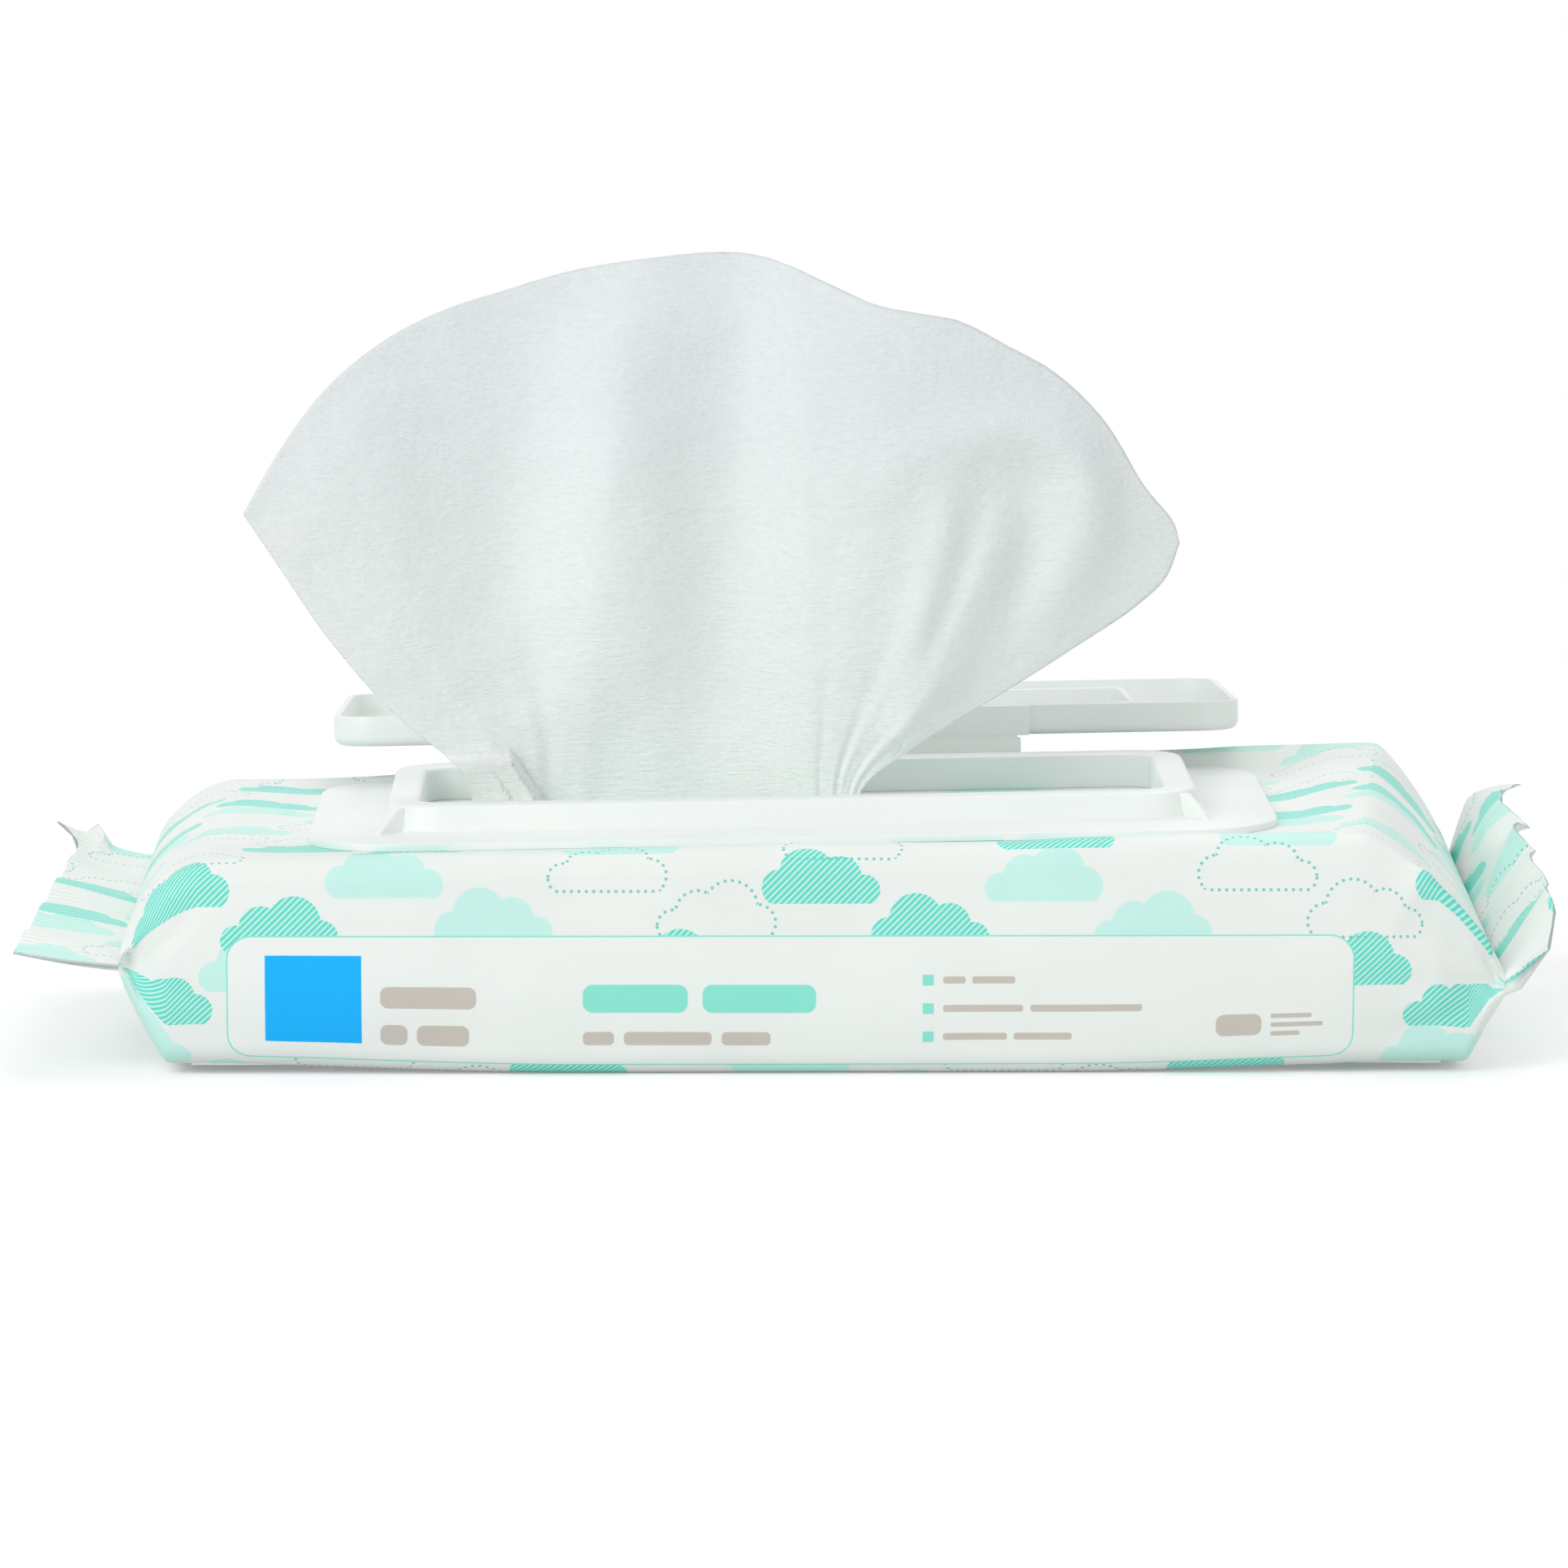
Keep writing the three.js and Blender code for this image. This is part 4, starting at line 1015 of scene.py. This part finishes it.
# A bar for each word: start, end, foot and height. BAR_ROUND is the rounding for each of height.
BAR_ROUND = 0.35
TITLE_BARS = [(-35.1, -19.2, 12.1, 4.4), (-17.0, 0.2, 12.1, 4.4)]
GREY_BARS = [
    (-65.7, -51.2, 12.5, 3.5), (-65.7, -61.6, 6.5, 3.3), (-60.2, -52.3, 6.5, 3.3),
    (-35.1, -30.4, 7.0, 2.1), (-28.9, -15.6, 7.0, 2.1), (-14.1, -6.7, 7.0, 2.1),
    (19.4, 22.8, 16.6, 1.1), (23.8, 30.3, 16.6, 1.1),
    (19.4, 31.5, 12.2, 1.1), (32.6, 49.5, 12.2, 1.1),
    (19.4, 29.1, 7.8, 1.1), (30.1, 38.9, 7.8, 1.1),
    (60.7, 67.6, 7.8, 3.5), (69.0, 75.2, 10.5, 0.75), (69.0, 76.9, 9.05, 0.75), (69.0, 73.4, 7.6, 0.75),
]


def panel_distance(place, low, high, radius):
    """Distance outside a rounded rectangle on the sheet."""
    centre = ((low[0] + high[0]) / 2, (low[1] + high[1]) / 2, 0.0)
    half = ((high[0] - low[0]) / 2 - radius, (high[1] - low[1]) / 2 - radius, 1.0)
    beyond = place.vector("SUBTRACT", centre).vector("ABSOLUTE").vector("SUBTRACT", half)
    return beyond.vector("MAXIMUM", (0.0, 0.0, 0.0)).vector("LENGTH", output=1) - radius


def nearest_of(distances):
    return functools.reduce(Value.least, distances)


def bars_ink(place, bars):
    """Where the rounded bars that stand for words are printed."""
    return nearest_of(panel_distance(place, (start, foot), (stop, foot + height), BAR_ROUND * height)
                      for start, stop, foot, height in bars).ink()


def cloud_inks(u, v):
    """Where the pale clouds, the striped clouds, their stripes and the dotted clouds are printed."""
    row = (v / CLOUD_ROW).floor()
    cell = (u + row * ROW_SHIFT) / CLOUD_PITCH
    index = cell.floor()
    facing = 1 - 2 * ((index + row) % 2.0)
    x = (cell % 1.0 - 0.5) * CLOUD_PITCH * facing
    y = v % CLOUD_ROW - 6.4 - (index * 1.9 + row).sine() * 1.2
    circles = []
    for centre_x, centre_y, radius in CLOUD_CIRCLES:
        away_x, away_y = x - centre_x, y - centre_y
        distance = (away_x * away_x + away_y * away_y).root() - radius
        circles.append((distance, away_x.angle(away_y) * radius))
    nearest = nearest_of(distance for distance, _ in circles)
    slab = (abs(x) - 6.3).most(abs(y + 1.6) - 1.6)
    inside = nearest.least(slab).most(CLOUD_BOTTOM - y)
    along = 0.0
    for distance, arc in circles:
        along = (distance < nearest + 0.001) * arc + along
    on_bottom = y < CLOUD_BOTTOM + 0.3
    along = on_bottom * x + (1 - on_bottom) * along
    beside = (along / DOT_PITCH % 1.0 - 0.5) * DOT_PITCH
    dots = ((beside * beside + inside * inside).root() - DOT_RADIUS).ink(0.06)
    across = abs((u - v) * (math.sqrt(0.5) / STRIPE_PITCH) % 1.0 - 0.5) * STRIPE_PITCH
    stripes = (across - STRIPE_HALF).ink()
    filled = inside.ink()
    kind = (index + row * 2.0) % 3.0
    pale = filled * (kind < 0.5)
    gaps = filled * (kind > 1.5)
    dotted = dots * (kind > 0.5) * (kind < 1.5)
    return pale, gaps, gaps * stripes, dotted


def film_material():
    shader = Shader(bpy.data.materials.new("printed_film"))
    flat = shader.sheet()
    u, v, _ = shader.split(flat)
    layers = [cloud_inks(u + along, v + around) for along, around in CLOUD_LAYERS]
    pale, gaps, stripes, dotted = [first.most(second) for first, second in zip(*layers)]
    panel = panel_distance(flat, *PANEL)
    titles = bars_ink(flat, TITLE_BARS)
    for bullet in BULLETS:
        titles = titles.most(panel_distance(flat, *bullet).ink())
    printed = FILM_WHITE
    for ink, ink_colour in [
            (pale, PALE_MINT), (gaps, STRIPE_GAP), (stripes, TEAL), (dotted, DOT_TEAL),
            (panel.ink(), PANEL_WHITE), ((abs(panel) - 0.12).ink(0.04), TITLE_MINT), (titles, TITLE_MINT),
            (bars_ink(flat, GREY_BARS), GREIGE), (panel_distance(flat, *TILE).ink(), TILE_BLUE)]:
        printed = shader.mixed(ink, printed, ink_colour)
    place = shader.place()
    x, _, _ = shader.split(place)
    fine = shader.grain(place, (5.0, 5.0, 4.0), detail=4.0, roughness=0.6)
    tone = shader.grain(place, (26.0, 22.0, 12.0))
    on_fin = (abs(x) - (root_x(-1) - 0.5)).ramp(0.0, 1.5)
    crimp = (v * (2 * math.pi / CRIMP_PITCH)).sine() * on_fin * 0.5
    normal = shader.bump(crimp, 0.12, 0.7, Normal=shader.bump(fine, 0.35, 0.35))
    return shader.finish(
        Base_Color=shader.shaded(printed, tone.ramp(0.3, 0.7, 0.965, 1.0)),
        Roughness=fine.ramp(0.3, 0.7, 0.4, 0.52), Specular_IOR_Level=0.3, Normal=normal)


def cloth_material(name):
    """Damp non-woven cloth: fine fibres that run mostly one way, in faint bands, with painted light that
    makes it lighter low down.
    """
    shader = Shader(bpy.data.materials.new(name))
    place = shader.place()
    fibres = shader.grain(place, (3.2, 0.8, 0.42), detail=3.0, roughness=0.65)
    matted = shader.grain(place, (1.1, 1.1, 0.9), detail=3.0, roughness=0.6)
    damp = shader.grain(place, (26.0, 20.0, 22.0))
    _, _, z = shader.split(place)
    # Painted light: the cloth is painted lightest up to 54 mm above the table and greyer blue towards 105
    # mm, standing in for light that shows through it low down
    painted_light_colour = shader.mixed(z.ramp(40.0, 105.0), colour(241, 246, 243), colour(232, 238, 239))
    painted_light_colour = shader.mixed(z.ramp(38.0, 54.0), colour(248, 252, 249), painted_light_colour)
    base = shader.shaded(painted_light_colour, damp.ramp(0.3, 0.7, 0.985, 1.0))
    height = fibres * 0.5 + matted * 0.5
    return shader.finish(
        Base_Color=shader.shaded(base, height.ramp(0.35, 0.65, 0.94, 1.0)),
        Roughness=matted.ramp(0.3, 0.7, 0.8, 0.95), Specular_IOR_Level=0.25,
        Sheen_Weight=0.15, Normal=shader.bump(height, 0.5, 0.8))


def moulding_material():
    """Satin white moulded plastic, faintly uneven, with a very fine grain."""
    shader = Shader(bpy.data.materials.new("satin_moulding"))
    place = shader.place()
    flow = shader.grain(place, (34.0, 18.0, 14.0))
    fine = shader.grain(place, (0.5, 0.5, 0.5))
    base = shader.mixed(flow.ramp(0.3, 0.7), colour(237, 242, 239), colour(242, 246, 243))
    return shader.finish(
        Base_Color=base, Roughness=fine.ramp(0.3, 0.7, 0.33, 0.42), Specular_IOR_Level=0.5,
        Normal=shader.bump(fine, 0.03, 0.5))


# Studio


SKY_LEVEL = 0.54
FLOOR_GLOW = 0.25
# The floor turns to plain white between these distances from the pack, in metres
WHITE_FLOOR = (0.16, 0.34)
CAMERA_PLACE = (-0.0216, -1.3614, 0.2091)
CAMERA_AIM = (-0.0045, 0, 0.0383)
FOCAL_LENGTH = 201.2
LAMP_AIM = (0, 0, 0.05)


def show_white_directly(shader, lit, white, kind):
    """Shows the white shader to the camera, in gloss and through clear parts, else the lit one."""
    seen = [shader.node("ShaderNodeLightPath", output=f"Is {ray} Ray")
            for ray in ("Camera", "Glossy", "Transmission")]
    share = seen[0].most(seen[1]).most(seen[2])
    shader.show(shader.node("ShaderNodeMixShader", inputs={0: share, 1: lit, 2: white}), kind)


def sky():
    world = bpy.data.worlds.new("studio")
    bpy.context.scene.world = world
    shader = Shader(world)
    lit, white = [
        shader.node("ShaderNodeBackground", inputs={"Color": (1, 1, 1, 1), "Strength": level})
        for level in (SKY_LEVEL, 1.0)]
    show_white_directly(shader, lit, white, "ShaderNodeOutputWorld")


def floor():
    mesh = bpy.data.meshes.new("floor")
    far = 4.0
    mesh.from_pydata([(-far, -far, 0), (far, -far, 0), (far, far, 0), (-far, far, 0)], [], [(0, 1, 2, 3)])
    plane = placed("floor", mesh)
    shader = Shader(bpy.data.materials.new("floor_white"))
    paint = shader.node("ShaderNodeBsdfDiffuse", inputs={"Color": (0.85, 0.85, 0.85, 1)})
    glow = shader.node("ShaderNodeEmission", inputs={"Strength": FLOOR_GLOW})
    both = shader.node("ShaderNodeAddShader", inputs={0: paint, 1: glow})
    away = shader.node("ShaderNodeTexCoord", output="Object").vector("LENGTH", output="Value")
    white = shader.node("ShaderNodeEmission")
    spread = shader.node("ShaderNodeMixShader", inputs={0: away.ramp(*WHITE_FLOOR), 1: both, 2: white})
    show_white_directly(shader, paint, spread, "ShaderNodeOutputMaterial")
    mesh.materials.append(shader.owner)


def aimed(name, data, place, aim):
    """Object that stands at one place and faces another."""
    holder = placed(name, data)
    holder.location = place
    holder.rotation_euler = (Vector(aim) - Vector(place)).to_track_quat("-Z", "Y").to_euler()
    return holder


def lamp(name, place, power, size):
    light = bpy.data.lights.new(name, "AREA")
    light.energy = power
    light.size = size
    aimed(name, light, place, LAMP_AIM)


def camera():
    lens = bpy.data.cameras.new("camera")
    lens.lens = FOCAL_LENGTH
    lens.sensor_width = 36
    bpy.context.scene.camera = aimed("camera", lens, CAMERA_PLACE, CAMERA_AIM)


def build_pack():
    film, moulding = film_material(), moulding_material()
    for piece in (film_wrapper(), lap_seam()):
        finish_with(piece, film)
    wipe = wipe_cloth()
    finish_with(wipe, cloth_material("pulled_cloth"))
    stack = stacked_wipes(cloth_material("stacked_cloth"))
    for piece in (frame_moulding(), hinge_tab(), corner_rib(-1), corner_rib(1),
                  lid_shell(), plug_rib(), lid_boss(), thumb_tab(), hinge_web()):
        finish_with(piece, moulding)
    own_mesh(wipe)


bpy.context.scene.view_settings.view_transform = "Standard"
camera()
sky()
floor()
lamp("key", (-0.85, -0.95, 0.85), 9.7, 1.0)
lamp("fill", (0.9, -1.0, 0.5), 2.0, 1.0)
lamp("back", (0.3, 0.6, 1.3), 6.0, 1.2)
build_pack()
